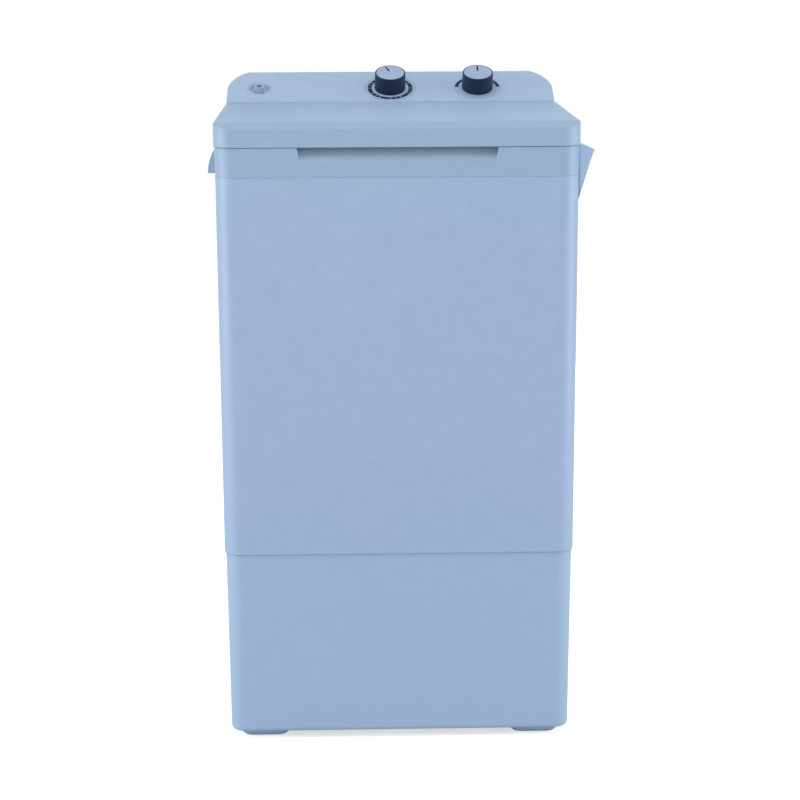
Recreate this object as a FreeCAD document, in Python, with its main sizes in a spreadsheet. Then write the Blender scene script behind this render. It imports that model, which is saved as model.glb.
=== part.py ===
import FreeCAD, Part

import math
import os

import Sketcher
from FreeCAD import Placement, Rotation, Vector

# Top load washing machine with one wash tub, a tilted control panel and a hinged lid.
# Frame: millimetres, +Z up, front towards -Y, origin on the floor under the middle of the body.

DOC = FreeCAD.newDocument("top_load_washing_machine")

# Lengths closer than this are taken as equal where edges are picked.
NEAR = 0.01

# Driving dimensions: alias, value, meaning.
SIZES = (
    # outer body
    ("body_width", 500, "width over the lid"),
    ("body_depth", 485, "depth over the lid and the console"),
    ("front_corner", 31, "plan radius of the two front corners, at the lid"),
    ("rear_corner", 56, "plan radius of the two rear corners, at the console"),
    ("wall", 3, "wall of the moulded cabinet, collar and console"),
    ("foot_height", 11, "height of the feet below the base"),
    ("split_level", 272, "height of the seam between base and cabinet"),
    ("collar_level", 798, "height of the seam between cabinet and collar"),
    ("deck_level", 838, "height of the collar's flat top"),
    ("collar_inset", 1.2, "step from the lid's outline in to the collar"),
    ("cabinet_inset", 1.9, "step from the lid's outline in to the cabinet's top"),
    ("cabinet_lean", 2.7, "draft of the cabinet on each side, top to bottom"),
    ("base_step", 2, "step from the cabinet in to the base at the seam"),
    ("base_lean", 3.3, "draft of the base on each side, top to bottom"),
    ("base_wall", 4, "wall of the base"),
    ("base_edge", 6.5, "rounding of the base's lower edge"),
    ("rim_height", 12, "height of the rims that locate the stacked shells"),
    ("fit_gap", 0.3, "gap between pieces that slip into each other"),
    ("floor_level", 24, "height of the base floor's upper face"),
    ("floor_wall", 4, "thickness of the base floor"),
    ("vent_length", 96, "length of a vent slot in the base floor"),
    ("vent_width", 8, "width of a vent slot"),
    ("vent_pitch", 18, "distance between vent slots"),
    ("vent_count", 6, "number of vent slots"),
    # lid
    ("lid_gap", 0.6, "open seam between the collar and the lid"),
    ("lid_wall", 3, "wall of the lid"),
    ("skirt_height", 25.4, "height of the lid's upright skirt"),
    ("slope_width", 32, "width of the sloped margin along the lid's front"),
    ("slope_rise", 7, "rise of the sloped margin"),
    ("crown_rise", 8, "rise of the lid's top from the margin to the hinge"),
    ("brim_round", 2, "rounding of the lid's upper edges"),
    ("crease_round", 40, "rounding between the lid's front margin and its top"),
    ("hinge_radius", 12, "radius of the lid's rear end round the hinge line"),
    ("hinge_pin_radius", 3, "radius of the hinge pins"),
    ("hinge_spread", 190, "distance of each hinge ear from the middle"),
    ("ear_width", 6, "thickness of a hinge ear and of a lid knuckle"),
    ("ear_half", 5.5, "half the depth of a hinge ear"),
    ("knuckle_wall", 2, "lid's hinge knuckle beyond the ear's round"),
    ("running_gap", 0.06, "radial clearance of a turning shaft or pin"),
    ("lid_rib", 8, "depth of the stiffening ribs under the lid"),
    ("lid_rib_pitch", 90, "distance between the lid's long ribs"),
    ("bumper_inset", 19.5, "bumpers inside the lid's sides"),
    ("bumper_spread", 150, "bumpers in front of and behind the tub's middle"),
    ("bumper_height", 3, "height of a bumper"),
    ("bumper_radius", 6, "radius of a bumper"),
    ("bumper_step", 1, "lid's bumper bosses inside the bumpers' edges"),
    # finger recess under the lid
    ("recess_top", 273, "length of the finger recess at its mouth"),
    ("recess_bottom", 264, "length of the finger recess at its lower edge"),
    ("recess_height", 18, "height of the finger recess"),
    ("recess_depth", 16, "depth of the finger recess at its mouth"),
    # carry handles and hose holder
    ("handle_length", 150, "length of a carry handle"),
    ("handle_setback", 158, "front end of a carry handle behind the lid's front"),
    ("handle_reach", 17.5, "how far a carry handle stands out"),
    ("handle_drop", 46, "height of a carry handle"),
    ("handle_wall", 3, "wall of a carry handle"),
    ("holder_reach", 20.3, "how far the hose holder stands out"),
    ("holder_height", 73, "height of the hose holder"),
    ("holder_length", 56, "length of the hose holder, front to rear"),
    ("holder_setback", 31, "front of the hose holder behind the lid's front"),
    ("holder_slope", 6, "drop of the hose holder's sloping top"),
    ("holder_nose", 15, "height of the hose holder's blunt nose"),
    ("holder_waist", 4.5, "how far the hose holder draws in below its nose"),
    ("holder_ledge", 5, "level part of the hose holder's top"),
    ("holder_round", 1.5, "rounding of the hose holder's outer edge"),
    # console
    ("console_depth", 90.5, "depth of the console with the gap in front of it"),
    ("console_gap", 1, "gap between the lid's end and the console"),
    ("panel_run", 84, "depth of the tilted panel, seen from above"),
    ("panel_rise", 42, "rise of the tilted panel"),
    ("knob_station", 42, "place of the knobs, measured up the panel"),
    ("selector_offset", 134.5, "selector knob's place to the right of the middle"),
    ("inlet_offset", 201, "water inlet's place to the left of the middle"),
    # knobs
    ("knob_radius", 23.8, "radius of a knob at its foot"),
    ("knob_taper", 0.5, "how much a knob's radius shrinks to its top"),
    ("knob_height", 26, "height of a knob"),
    ("knob_gap", 0.8, "gap under a knob"),
    ("knob_rim", 2, "dark rim left round the light cap"),
    ("knob_wall", 2, "wall of a knob"),
    ("cap_wall", 1.2, "thickness of the cap on a knob"),
    ("pointer_length", 15, "length of the pointer slot in a cap"),
    ("pointer_width", 1.8, "width of the pointer slot"),
    ("timer_pointer_angle", 20, "pointer of the timer knob, turned to the left"),
    ("spindle_radius", 3, "radius of a knob spindle"),
    ("timer_width", 50, "width of the timer's case"),
    ("timer_depth", 44, "depth of the timer's case, up the panel"),
    ("timer_height", 26, "height of the timer's case"),
    ("selector_width", 40, "width of the selector switch"),
    ("selector_depth", 32, "depth of the selector switch, up the panel"),
    ("selector_height", 20, "height of the selector switch"),
    ("lever_reach", 24, "length of the selector's lever"),
    ("lever_width", 10, "width of the selector's lever"),
    # water inlet
    ("inlet_radius", 17.5, "radius of the dished inlet recess"),
    ("inlet_dish", 7, "depth of the dished inlet recess"),
    ("nozzle_radius", 7, "outer radius of the inlet nozzle"),
    ("nozzle_bore", 4.8, "bore radius of the inlet nozzle"),
    ("nozzle_height", 5, "how far the nozzle stands above the panel"),
    ("duct_size", 24, "outer width of the square inlet duct"),
    ("duct_wall", 2, "wall of the inlet duct"),
    ("duct_setback", 34, "inlet duct behind the console's front"),
    ("duct_rise", 40, "height of the inlet duct's riser above the deck"),
    ("spout_offset", 100, "inlet spout's place to the left of the middle"),
    ("spout_level", 806, "height of the inlet spout's middle"),
    # wash tub
    ("tub_side_margin", 50, "tub mouth inside the lid's sides"),
    ("tub_setback", 36.5, "tub mouth behind the lid's front"),
    ("tub_rear_margin", 22, "tub mouth in front of the lid's rear end"),
    ("tub_corner", 50, "plan radius of the tub's corners at the mouth"),
    ("tub_wall", 3, "wall of the tub"),
    ("tub_lean", 8, "draft of the tub on each side, top to bottom"),
    ("tub_floor", 330, "height of the tub floor inside"),
    ("tub_bottom_wall", 4, "thickness of the tub floor"),
    ("tub_edge", 22, "rounding between the tub's floor and walls"),
    ("flange_width", 10, "width of the flange round the tub's mouth"),
    ("flange_wall", 3, "thickness of the flange round the tub's mouth"),
    ("rib_width", 10, "width of a washing rib"),
    ("rib_depth", 6, "depth of a washing rib"),
    ("rib_height", 330, "height of a washing rib"),
    ("rib_pitch", 64, "distance between washing ribs"),
    # lint filter, overflow cover and drain grate
    ("filter_level", 690, "lower end of the lint filter"),
    ("filter_width", 90, "width of the lint filter"),
    ("filter_height", 100, "height of the lint filter"),
    ("filter_depth", 12, "thickness of the lint filter's frame"),
    ("filter_standoff", 20, "lint filter's face in front of the tub's wall at its mouth"),
    ("filter_rim", 6, "rim and crossbar of the lint filter's frame"),
    ("net_thickness", 1, "thickness of the lint filter's net"),
    ("rail_wall", 2, "wall of the filter's rails"),
    ("rail_hook", 4, "how far a rail hooks round the filter"),
    ("rail_height", 45, "height of the filter's rails"),
    ("grille_radius", 16, "radius of the overflow cover"),
    ("grille_wall", 2, "thickness of the overflow cover"),
    ("grille_slot", 2.4, "width of a slot in the overflow cover and the grate"),
    # pulsator and its shaft
    ("pulsator_margin", 15, "gap between the pulsator and the tub's front and rear walls"),
    ("pulsator_wall", 4, "thickness of the pulsator's disc"),
    ("pulsator_lift", 4, "gap between the pulsator and the tub floor"),
    ("pulsator_dome", 24, "height of the pulsator's middle dome"),
    ("dome_radius", 50, "radius of the pulsator's middle dome at its foot"),
    ("dome_curve", 80, "radius of the curve down the dome's side"),
    ("pulsator_skirt", 10, "height of the pulsator's upturned rim"),
    ("drip_radius", 3, "radius of the drain holes in the pulsator"),
    ("drip_margin", 65.25, "drain holes inside the pulsator's rim, along a blade"),
    ("drip_offset", 29, "drain holes beside a blade's chord"),
    ("hub_screw", 3, "radius of the pulsator screw's thread"),
    ("hub_thread", 12, "depth of the pulsator screw's thread in the shaft"),
    ("seal_wall", 3, "shaft seal beyond the bushes"),
    ("blade_count", 5, "number of washing blades"),
    ("blade_bulge", 34, "how far a blade curves out of its chord"),
    ("blade_thickness", 18, "thickness of a blade at its middle"),
    ("blade_height", 26, "height of a blade at its root"),
    ("shaft_radius", 7, "radius of the wash shaft"),
    ("shaft_bottom", 176, "lower end of the wash shaft"),
    ("bush_wall", 4, "wall of a bearing bush"),
    ("bush_length", 22, "length of a bearing bush"),
    ("housing_wall", 6, "wall of the bearing housing's tube"),
    ("housing_flange", 58, "radius of the bearing housing's flange"),
    ("housing_plate", 5, "thickness of the bearing housing's flange"),
    ("housing_bottom", 206, "lower end of the bearing housing"),
    ("gusset_count", 6, "number of gussets on the bearing housing"),
    # belt drive
    ("pulley_level", 192, "height of the belt's middle plane"),
    ("pulley_margin", 150, "driven pulley's rim inside the body's side"),
    ("pulley_width", 15, "width of both pulleys"),
    ("motor_pulley_radius", 22, "radius of the motor pulley's rim"),
    ("motor_margin", 118, "motor's axis inside the body's left side"),
    ("belt_depth", 6, "depth of the belt's section"),
    ("belt_width", 8, "width of the belt's section"),
    ("belt_sink", 7, "depth of the belt's inner face below the rims"),
    ("groove_flare", 10, "flare of the belt groove's sides, in degrees"),
    ("rim_wall", 3, "wall of the driven pulley's rim under its groove"),
    ("web_wall", 4, "thickness of the driven pulley's web"),
    ("window_count", 5, "number of windows in the driven pulley"),
    ("window_radius", 20, "radius of a window in the driven pulley"),
    # motor and what carries it
    ("motor_radius", 58, "radius of the motor's stator housing"),
    ("motor_height", 78, "height of the motor's stator housing"),
    ("bell_height", 14, "height of each motor end bell"),
    ("slot_count", 12, "number of grooves down the motor's housing"),
    ("slot_radius", 3, "radius of a groove down the motor's housing"),
    ("motor_shaft_radius", 6, "radius of the motor shaft"),
    ("boss_height", 20, "height of the base's motor bosses"),
    ("boss_radius", 11, "radius of the base's motor bosses"),
    ("boss_spread_x", 78, "motor bosses left and right of the motor"),
    ("boss_spread_y", 62, "motor bosses in front of and behind the motor"),
    ("mount_screw", 3, "radius of the motor plate's screws"),
    ("bush_height", 10, "height of a rubber motor mount"),
    ("plate_wall", 3, "thickness of the steel motor plate"),
    ("plate_margin", 14, "motor plate beyond its bosses"),
    ("capacitor_radius", 20, "radius of the run capacitor"),
    ("capacitor_height", 70, "height of the run capacitor"),
    ("capacitor_offset", 40, "capacitor's place to the right of the middle"),
    ("capacitor_setback", 132, "capacitor in front of the tub's middle"),
    ("clamp_height", 18, "height of the capacitor's clamp"),
    # drain
    ("drain_margin", 66.5, "drain valve's axis inside the body's rear"),
    ("sump_margin", 52, "tub drain inside the rear edge of the tub's mouth"),
    ("sump_radius", 18, "radius of the tub drain"),
    ("valve_radius", 26, "radius of the drain valve's chamber"),
    ("valve_bottom", 246, "lower end of the drain valve's chamber"),
    ("valve_top", 322, "upper end of the drain valve's chamber"),
    ("valve_wall", 3, "wall of the drain valve and its pipes"),
    ("pipe_radius", 14, "outer radius of the drain and overflow pipes"),
    ("link_level", 296, "height of the pipe from the tub's drain to the valve"),
    ("seat_rise", 20, "valve seat above the chamber's lower end"),
    ("drain_bend", 30, "bend radius of the drain pipe"),
    ("plug_radius", 17, "radius of the drain valve's plug"),
    ("plug_height", 10, "height of the drain valve's plug"),
    ("rod_radius", 2.5, "radius of the drain valve's pull rod"),
    ("rod_top", 843, "upper end of the pull rod"),
    ("overflow_level", 772, "height of the overflow port"),
    ("branch_radius", 12, "outer radius of the overflow's branch"),
    ("outlet_level", 75, "height of the drain outlet"),
    ("outlet_reach", 14, "how far the drain outlet stands out of the body's side"),
    ("spigot_length", 20, "length of the drain outlet's spigot"),
    ("spigot_radius", 13, "outer radius of the drain outlet's spigot"),
    # rear and feet
    ("cover_left", 176, "service cover's left edge from the middle"),
    ("cover_right", 84, "service cover's right edge from the middle"),
    ("cover_bottom", 58, "service cover's lower edge"),
    ("cover_top", 240, "service cover's upper edge"),
    ("cover_overlap", 12, "service cover beyond its opening"),
    ("cover_wall", 2.5, "thickness of the service cover"),
    ("louvre_width", 5, "width of a slot in the service cover"),
    ("louvre_pitch", 14, "distance between the service cover's slots"),
    ("louvre_count", 8, "number of slots in the service cover"),
    ("gland_level", 300, "height of the power cord's gland"),
    ("gland_offset", 150, "gland's place to the left of the middle"),
    ("gland_radius", 7, "radius of the gland's sleeve"),
    ("gland_bore", 3.6, "bore radius of the gland"),
    ("foot_length", 68, "length of a foot along the front"),
    ("foot_depth", 54, "length of a foot along the side"),
    ("foot_inset", 14, "outer face of a foot inside the base"),
    ("rear_foot_inset", 6, "rear feet further in, clear of the rear corners"),
    ("foot_round", 16, "plan radius of a foot's corners"),
    ("foot_edge", 8, "rounding of a foot's lower edge"),
    ("screw_radius", 2, "radius of the small screws"),
    ("screw_head", 4, "radius of the small screws' heads"),
    ("screw_grip", 3, "length of the housing screws' thread in the tub floor"),
)

# Places worked out from the driving dimensions: alias, formula.
PLACES = (
    ("half_width", "size.body_width / 2"),
    ("half_depth", "size.body_depth / 2"),
    ("cabinet_bottom_inset", "size.cabinet_inset + size.cabinet_lean"),
    ("base_top_inset", "cabinet_bottom_inset + size.base_step"),
    ("base_bottom_inset", "base_top_inset + size.base_lean"),
    ("floor_under", "size.floor_level - size.floor_wall"),
    ("base_height", "size.split_level - size.foot_height"),
    ("base_draft", "atan(size.base_lean / base_height)"),
    ("cabinet_height", "size.collar_level - size.split_level"),
    ("cabinet_draft", "atan(size.cabinet_lean / cabinet_height)"),
    ("collar_height", "size.deck_level - size.collar_level"),
    ("collar_draft", "atan((size.cabinet_inset - size.collar_inset) / collar_height)"),
    ("lid_bottom", "size.deck_level + size.lid_gap"),
    ("crease_level", "lid_bottom + size.skirt_height"),
    ("crown_front", "crease_level + size.slope_rise"),
    ("lid_top", "crown_front + size.crown_rise"),
    ("hinge_level", "lid_top - size.hinge_radius"),
    ("lid_length", "size.body_depth - size.console_depth"),
    ("lid_rear", "lid_length - half_depth"),
    ("hinge_setback", "lid_rear - size.hinge_radius"),
    ("hinge_under", "lid_bottom + 3 * size.hinge_radius / 4"),
    ("console_front", "lid_rear + size.console_gap"),
    ("panel_angle", "atan(size.panel_rise / size.panel_run)"),
    ("panel_top", "lid_top + size.panel_rise"),
    ("console_bevel", "half_depth - console_front - size.panel_run"),
    ("tub_half_width", "half_width - size.tub_side_margin"),
    ("tub_half_depth", "(lid_length - size.tub_setback - size.tub_rear_margin) / 2"),
    ("tub_center", "size.tub_setback + tub_half_depth - half_depth"),
    ("sump_setback", "tub_center + tub_half_depth - size.sump_margin"),
    ("tub_rim", "size.deck_level"),
    ("tub_under", "size.tub_floor - size.tub_bottom_wall"),
    ("tub_height", "tub_rim - tub_under"),
    ("tub_draft", "atan(size.tub_lean / tub_height)"),
    ("rib_lean", "size.tub_lean * (size.rib_height / tub_height)"),
    ("foot_lean", "size.tub_lean * ((tub_rim - size.tub_floor) / tub_height)"),
    ("spout_end", "tub_center + tub_half_depth - 2 * size.duct_wall"),
    ("filter_face", "size.filter_standoff - tub_half_width"),
    ("overflow_lean", "size.tub_lean * ((tub_rim - size.overflow_level) / tub_height)"),
    ("overflow_face", "tub_center + tub_half_depth - overflow_lean"),
    ("overflow_back", "overflow_face + size.tub_wall + size.fit_gap"),
    ("disc_level", "size.tub_floor + size.pulsator_lift"),
    ("dome_top", "disc_level + size.pulsator_dome"),
    ("bush_radius", "size.shaft_radius + size.bush_wall"),
    ("tube_radius", "bush_radius + size.housing_wall"),
    ("seal_radius", "bush_radius + size.seal_wall"),
    ("screw_ring", "size.housing_flange - 2 * size.screw_head"),
    ("shaft_top", "dome_top - size.pulsator_wall"),
    ("cap_round", "((size.dome_radius / 4)^2 + size.hub_screw^2) / (2 * size.hub_screw)"),
    ("blade_root", "bush_radius + size.pulsator_wall"),
    ("pulsator_radius", "tub_half_depth - size.tub_lean - size.pulsator_margin"),
    ("blade_tip", "pulsator_radius - 5 * size.pulsator_wall"),
    ("blade_half", "(blade_tip - blade_root) / 2"),
    ("blade_front", "(blade_half^2 + size.blade_bulge^2) / (2 * size.blade_bulge)"),
    ("blade_hollow", "size.blade_bulge - size.blade_thickness"),
    ("blade_back", "(blade_half^2 + blade_hollow^2) / (2 * blade_hollow)"),
    ("hub_radius", "size.shaft_radius + 2 * size.bush_wall"),
    ("pulley_radius", "half_width - size.pulley_margin"),
    ("motor_offset", "half_width - size.motor_margin"),
    ("rim_inside", "pulley_radius - size.belt_sink - size.fit_gap - size.rim_wall"),
    ("belt_big", "pulley_radius - size.belt_sink"),
    ("belt_small", "size.motor_pulley_radius - size.belt_sink"),
    ("belt_lean", "(belt_big - belt_small) / motor_offset"),
    ("belt_rise", "sqrt(1 - belt_lean^2)"),
    ("bush_bottom", "size.floor_level + size.boss_height"),
    ("plate_bottom", "bush_bottom + size.bush_height"),
    ("motor_bottom", "plate_bottom + size.plate_wall"),
    ("stator_bottom", "motor_bottom + size.bell_height"),
    ("stator_top", "stator_bottom + size.motor_height"),
    ("motor_top", "stator_top + size.bell_height"),
    ("pulley_bottom", "size.pulley_level - size.pulley_width / 2"),
    ("pulley_top", "size.pulley_level + size.pulley_width / 2"),
    ("recess_bottom_level", "size.deck_level - size.recess_height"),
    ("capacitor_front", "tub_center - size.capacitor_setback"),
    ("drain_setback", "half_depth - size.drain_margin"),
    ("outlet_end", "half_width + size.outlet_reach"),
    ("pipe_bore", "size.pipe_radius - size.valve_wall"),
    ("branch_bore", "size.branch_radius - size.valve_wall"),
    ("seat_level", "size.valve_bottom + size.seat_rise"),
    ("plug_bottom", "seat_level + size.fit_gap"),
    ("plug_top", "plug_bottom + size.plug_height"),
    ("cover_low", "size.cover_bottom - size.foot_height"),
    ("cover_high", "size.cover_top - size.foot_height"),
    ("duct_front", "console_front + size.duct_setback"),
    ("handle_front", "size.handle_setback - half_depth"),
    ("holder_front", "size.holder_setback - half_depth"),
    ("collar_face", "half_width - size.cabinet_inset"),
    ("collar_top_face", "half_width - size.collar_inset"),
    ("handle_bottom", "size.deck_level - size.handle_drop"),
    ("handle_sag", "size.handle_reach + size.wall / 2"),
    ("handle_bow", "(handle_sag^2 + size.handle_drop^2) / (2 * handle_sag)"),
    ("handle_step", "size.cabinet_inset - size.collar_inset + size.fit_gap"),
    ("handle_gap_run", "handle_bow - size.handle_reach + handle_step"),
    ("handle_gap_top", "handle_bottom + sqrt((handle_bow - size.handle_wall)^2 - handle_gap_run^2)"),
    ("foot_edge", "half_width - base_bottom_inset - size.foot_inset"),
    ("foot_front", "half_depth - base_bottom_inset - size.foot_inset"),
)


def make_sheet(name, rows, formula):
    """A spreadsheet with one aliased cell for each row."""
    sheet = DOC.addObject("Spreadsheet::Sheet", name)
    for line, row in enumerate(rows, start=1):
        sheet.set(f"A{line}", row[0])
        sheet.set(f"B{line}", f"={row[1]}" if formula else str(row[1]))
        sheet.setAlias(f"B{line}", row[0])
        if not formula:
            sheet.set(f"C{line}", row[2])
    DOC.recompute()
    return sheet


SIZE_SHEET = make_sheet("size", SIZES, formula=False)
PLACE_SHEET = make_sheet("place", PLACES, formula=True)


def number(expression):
    """The present value of an expression in the sheets' aliases."""
    value = SIZE_SHEET.evalExpression(str(expression))
    return float(getattr(value, "Value", value))


# ---------------------------------------------------------------- features


def bind(target, **expressions):
    """Bind properties of an object to expressions in the sheets' aliases."""
    for name, expression in expressions.items():
        target.setExpression(name, str(expression))


def move(target, x="0", y="0", z="0"):
    """Bind an object's placement to three expressions."""
    target.setExpression("Placement.Base.x", str(x))
    target.setExpression("Placement.Base.y", str(y))
    target.setExpression("Placement.Base.z", str(z))


def new_body(name):
    body = DOC.addObject("PartDesign::Body", name + "_body")
    body.Label = name
    return body


def origin_plane(body, role):
    return next(feature for feature in body.Origin.OriginFeatures if feature.Role == role)


def new_sketch(body, role="XY_Plane", offset="0"):
    """A sketch on one of the body's origin planes, moved along the plane's normal."""
    sketch = body.newObject("Sketcher::SketchObject", body.Name + "_sketch")
    sketch.AttachmentSupport = [(origin_plane(body, role), "")]
    sketch.MapMode = "FlatFace"
    sketch.setExpression("AttachmentOffset.Base.z", str(offset))
    return sketch


def tie(sketch, kind, *where, value):
    """A dimension in a sketch, bound to an expression."""
    index = sketch.addConstraint(Sketcher.Constraint(kind, *where, number(value)))
    sketch.setExpression(f"Constraints[{index}]", str(value))


def arc_between(start, end, radius, side):
    """The shorter arc from start to end; its centre is on the left (side 1) or the right (side -1)."""
    chord = end - start
    across = Vector(-chord.y, chord.x, 0).normalize() * side
    centre = (start + end) * 0.5 + across * math.sqrt(radius ** 2 - (chord.Length / 2) ** 2)
    first, last = (start, end) if side > 0 else (end, start)
    angles = [math.atan2(point.y - centre.y, point.x - centre.x) for point in (first, last)]
    return Part.ArcOfCircle(Part.Circle(centre, Vector(0, 0, 1), radius), *angles)


def contour(sketch, points, bends=()):
    """A closed outline. Points are pairs of expressions; bends are (index, radius, side) and
    turn the stretch that starts at that point into an arc."""
    corners = [Vector(number(x), number(y), 0) for x, y in points]
    curved = {index: (radius, side) for index, radius, side in bends}
    stretches = []
    for index, start in enumerate(corners):
        end = corners[(index + 1) % len(corners)]
        if index in curved:
            radius, side = curved[index]
            edge = sketch.addGeometry(arc_between(start, end, number(radius), side))
            stretches.append((edge, 1, 2) if side > 0 else (edge, 2, 1))
        else:
            edge = sketch.addGeometry(Part.LineSegment(start, end))
            stretches.append((edge, 1, 2))
    for index, (edge, _, last) in enumerate(stretches):
        following, first, _ = stretches[(index + 1) % len(stretches)]
        sketch.addConstraint(Sketcher.Constraint("Coincident", edge, last, following, first))
    for (edge, first, _), (x, y) in zip(stretches, points):
        tie(sketch, "DistanceX", -1, 1, edge, first, value=x)
        tie(sketch, "DistanceY", -1, 1, edge, first, value=y)
    for index, (radius, _) in curved.items():
        tie(sketch, "Radius", stretches[index][0], value=radius)
    return sketch


def rectangle(sketch, left, right, low, high):
    return contour(sketch, ((left, low), (right, low), (right, high), (left, high)))


def circle(sketch, x, y, radius):
    ring = sketch.addGeometry(Part.Circle(Vector(number(x), number(y), 0), Vector(0, 0, 1), number(radius)))
    tie(sketch, "DistanceX", -1, 1, ring, 3, value=x)
    tie(sketch, "DistanceY", -1, 1, ring, 3, value=y)
    tie(sketch, "Radius", ring, value=radius)
    return sketch


def rounded_rectangle(sketch, half, front, rear, front_radius, rear_radius):
    """A rectangle with rounded corners, level with the x axis on both sides of it."""
    half_now, front_now, rear_now = number(half), number(front), number(rear)
    small, large = number(front_radius), number(rear_radius)
    corners = (
        (-half_now + small, front_now + small, small, 180),
        (half_now - small, front_now + small, small, 270),
        (half_now - large, rear_now - large, large, 0),
        (-half_now + large, rear_now - large, large, 90),
    )
    arcs = []
    for x, y, radius, start in corners:
        rim = Part.Circle(Vector(x, y, 0), Vector(0, 0, 1), radius)
        quarter = Part.ArcOfCircle(rim, math.radians(start), math.radians(start + 90))
        arcs.append(sketch.addGeometry(quarter))
    sides = []
    for index in range(4):
        start = sketch.Geometry[arcs[index]].EndPoint
        end = sketch.Geometry[arcs[(index + 1) % 4]].StartPoint
        sides.append(sketch.addGeometry(Part.LineSegment(start, end)))
    for index in range(4):
        sketch.addConstraint(Sketcher.Constraint("Tangent", arcs[index], 2, sides[index], 1))
        sketch.addConstraint(Sketcher.Constraint("Tangent", sides[index], 2, arcs[(index + 1) % 4], 1))
    for index, kind in enumerate(("Horizontal", "Vertical", "Horizontal", "Vertical")):
        sketch.addConstraint(Sketcher.Constraint(kind, sides[index]))
    for index, radius in enumerate((front_radius, front_radius, rear_radius, rear_radius)):
        tie(sketch, "Radius", arcs[index], value=radius)
    tie(sketch, "DistanceY", -1, 1, sides[0], 1, value=front)
    tie(sketch, "DistanceY", -1, 1, sides[2], 1, value=rear)
    tie(sketch, "DistanceX", -1, 1, sides[1], 1, value=half)
    tie(sketch, "DistanceX", sides[3], 1, -1, 1, value=half)
    return sketch


def body_outline(sketch, inset):
    """The body's plan outline, drawn a given distance inside the lid's outline."""
    return rounded_rectangle(
        sketch,
        f"place.half_width - ({inset})",
        f"({inset}) - place.half_depth",
        f"place.half_depth - ({inset})",
        f"size.front_corner - ({inset})",
        f"size.rear_corner - ({inset})",
    )


def tub_outline(sketch, growth):
    """The tub's plan outline, drawn a given distance outside the mouth's outline."""
    return rounded_rectangle(
        sketch,
        f"place.tub_half_width + ({growth})",
        f"place.tub_center - place.tub_half_depth - ({growth})",
        f"place.tub_center + place.tub_half_depth + ({growth})",
        f"size.tub_corner + ({growth})",
        f"size.tub_corner + ({growth})",
    )


def volume(body):
    return body.Shape.Volume if body.Tip else 0.0


def settle(body, feature, before, grows):
    """Recompute and make sure that a feature really added or removed material."""
    DOC.recompute()
    change = feature.Shape.Volume - before
    if (change > 0) != grows or abs(change) < 1e-6:
        raise ValueError(f"{body.Label}: {feature.Name} changed the volume by {change}")
    return feature


def extrude(body, kind, sketch, length, taper, reverse, middle):
    before = volume(body)
    feature = body.newObject("PartDesign::" + kind, body.Name + "_" + kind)
    feature.Profile = sketch
    feature.Reversed = reverse
    if middle:
        feature.Midplane = True
    bind(feature, Length=length)
    if taper:
        bind(feature, TaperAngle=taper)
    return settle(body, feature, before, grows=(kind == "Pad"))


def pad(body, sketch, length, taper=None, reverse=False, middle=False):
    return extrude(body, "Pad", sketch, length, taper, reverse, middle)


def pocket(body, sketch, length, taper=None, reverse=False, middle=False):
    return extrude(body, "Pocket", sketch, length, taper, reverse, middle)


def revolve(body, sketch, kind="Revolution"):
    """Turn a profile once round the vertical axis of its sketch."""
    before = volume(body)
    feature = body.newObject("PartDesign::" + kind, body.Name + "_" + kind)
    feature.Profile = sketch
    feature.ReferenceAxis = (sketch, ["V_Axis"])
    feature.Angle = 360
    return settle(body, feature, before, grows=(kind == "Revolution"))


def polar(body, feature, count, grows=True):
    """Repeat a feature round the body's own Z axis."""
    before = volume(body)
    pattern = body.newObject("PartDesign::PolarPattern", body.Name + "_polar")
    pattern.Originals = [feature]
    pattern.Axis = (origin_plane(body, "Z_Axis"), [""])
    pattern.Angle = 360
    bind(pattern, Occurrences=count)
    body.Tip = pattern
    return settle(body, pattern, before, grows)


def linear(body, feature, axis, length, count, grows=True):
    """Repeat a feature along one of the body's own axes."""
    before = volume(body)
    pattern = body.newObject("PartDesign::LinearPattern", body.Name + "_linear")
    pattern.Originals = [feature]
    pattern.Direction = (origin_plane(body, axis), [""])
    bind(pattern, Length=length, Occurrences=count)
    body.Tip = pattern
    return settle(body, pattern, before, grows)


def mirror(body, features, role="YZ_Plane", grows=True):
    before = volume(body)
    copy = body.newObject("PartDesign::Mirrored", body.Name + "_mirror")
    copy.Originals = features
    copy.MirrorPlane = (origin_plane(body, role), [""])
    body.Tip = copy
    return settle(body, copy, before, grows)


def round_edges(body, radius, wanted, kind="Fillet"):
    """Fillet or chamfer those edges of the body that the test picks."""
    DOC.recompute()
    base = body.Tip
    names = [f"Edge{index}" for index, edge in enumerate(base.Shape.Edges, start=1) if wanted(edge)]
    if not names:
        raise ValueError(f"{body.Label}: no edge to round")
    feature = body.newObject("PartDesign::" + kind, body.Name + "_" + kind)
    feature.Base = (base, names)
    if kind == "Fillet":
        bind(feature, Radius=radius)
    else:
        bind(feature, Size=radius)
    DOC.recompute()
    return feature


def crosses_at(edge, setback):
    """True for an edge that runs from side to side at the given distance from the middle."""
    bounds = edge.BoundBox
    level = bounds.YLength < NEAR and bounds.ZLength < NEAR
    return level and abs(bounds.YMin - setback) < NEAR


def is_upright(edge):
    """True for a straight edge that runs close to the Z direction."""
    run = edge.lastVertex().Point - edge.firstVertex().Point
    return edge.Curve.TypeId == "Part::GeomLine" and abs(run.z) > 0.98 * run.Length


def at_level(edge, level):
    return abs(edge.BoundBox.ZMin - level) < NEAR and abs(edge.BoundBox.ZMax - level) < NEAR


def box(name, x, y, z, width, depth, height):
    """A block with its lowest corner at x, y, z."""
    block = DOC.addObject("Part::Box", name)
    bind(block, Length=width, Width=depth, Height=height)
    move(block, x, y, z)
    return block


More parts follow.
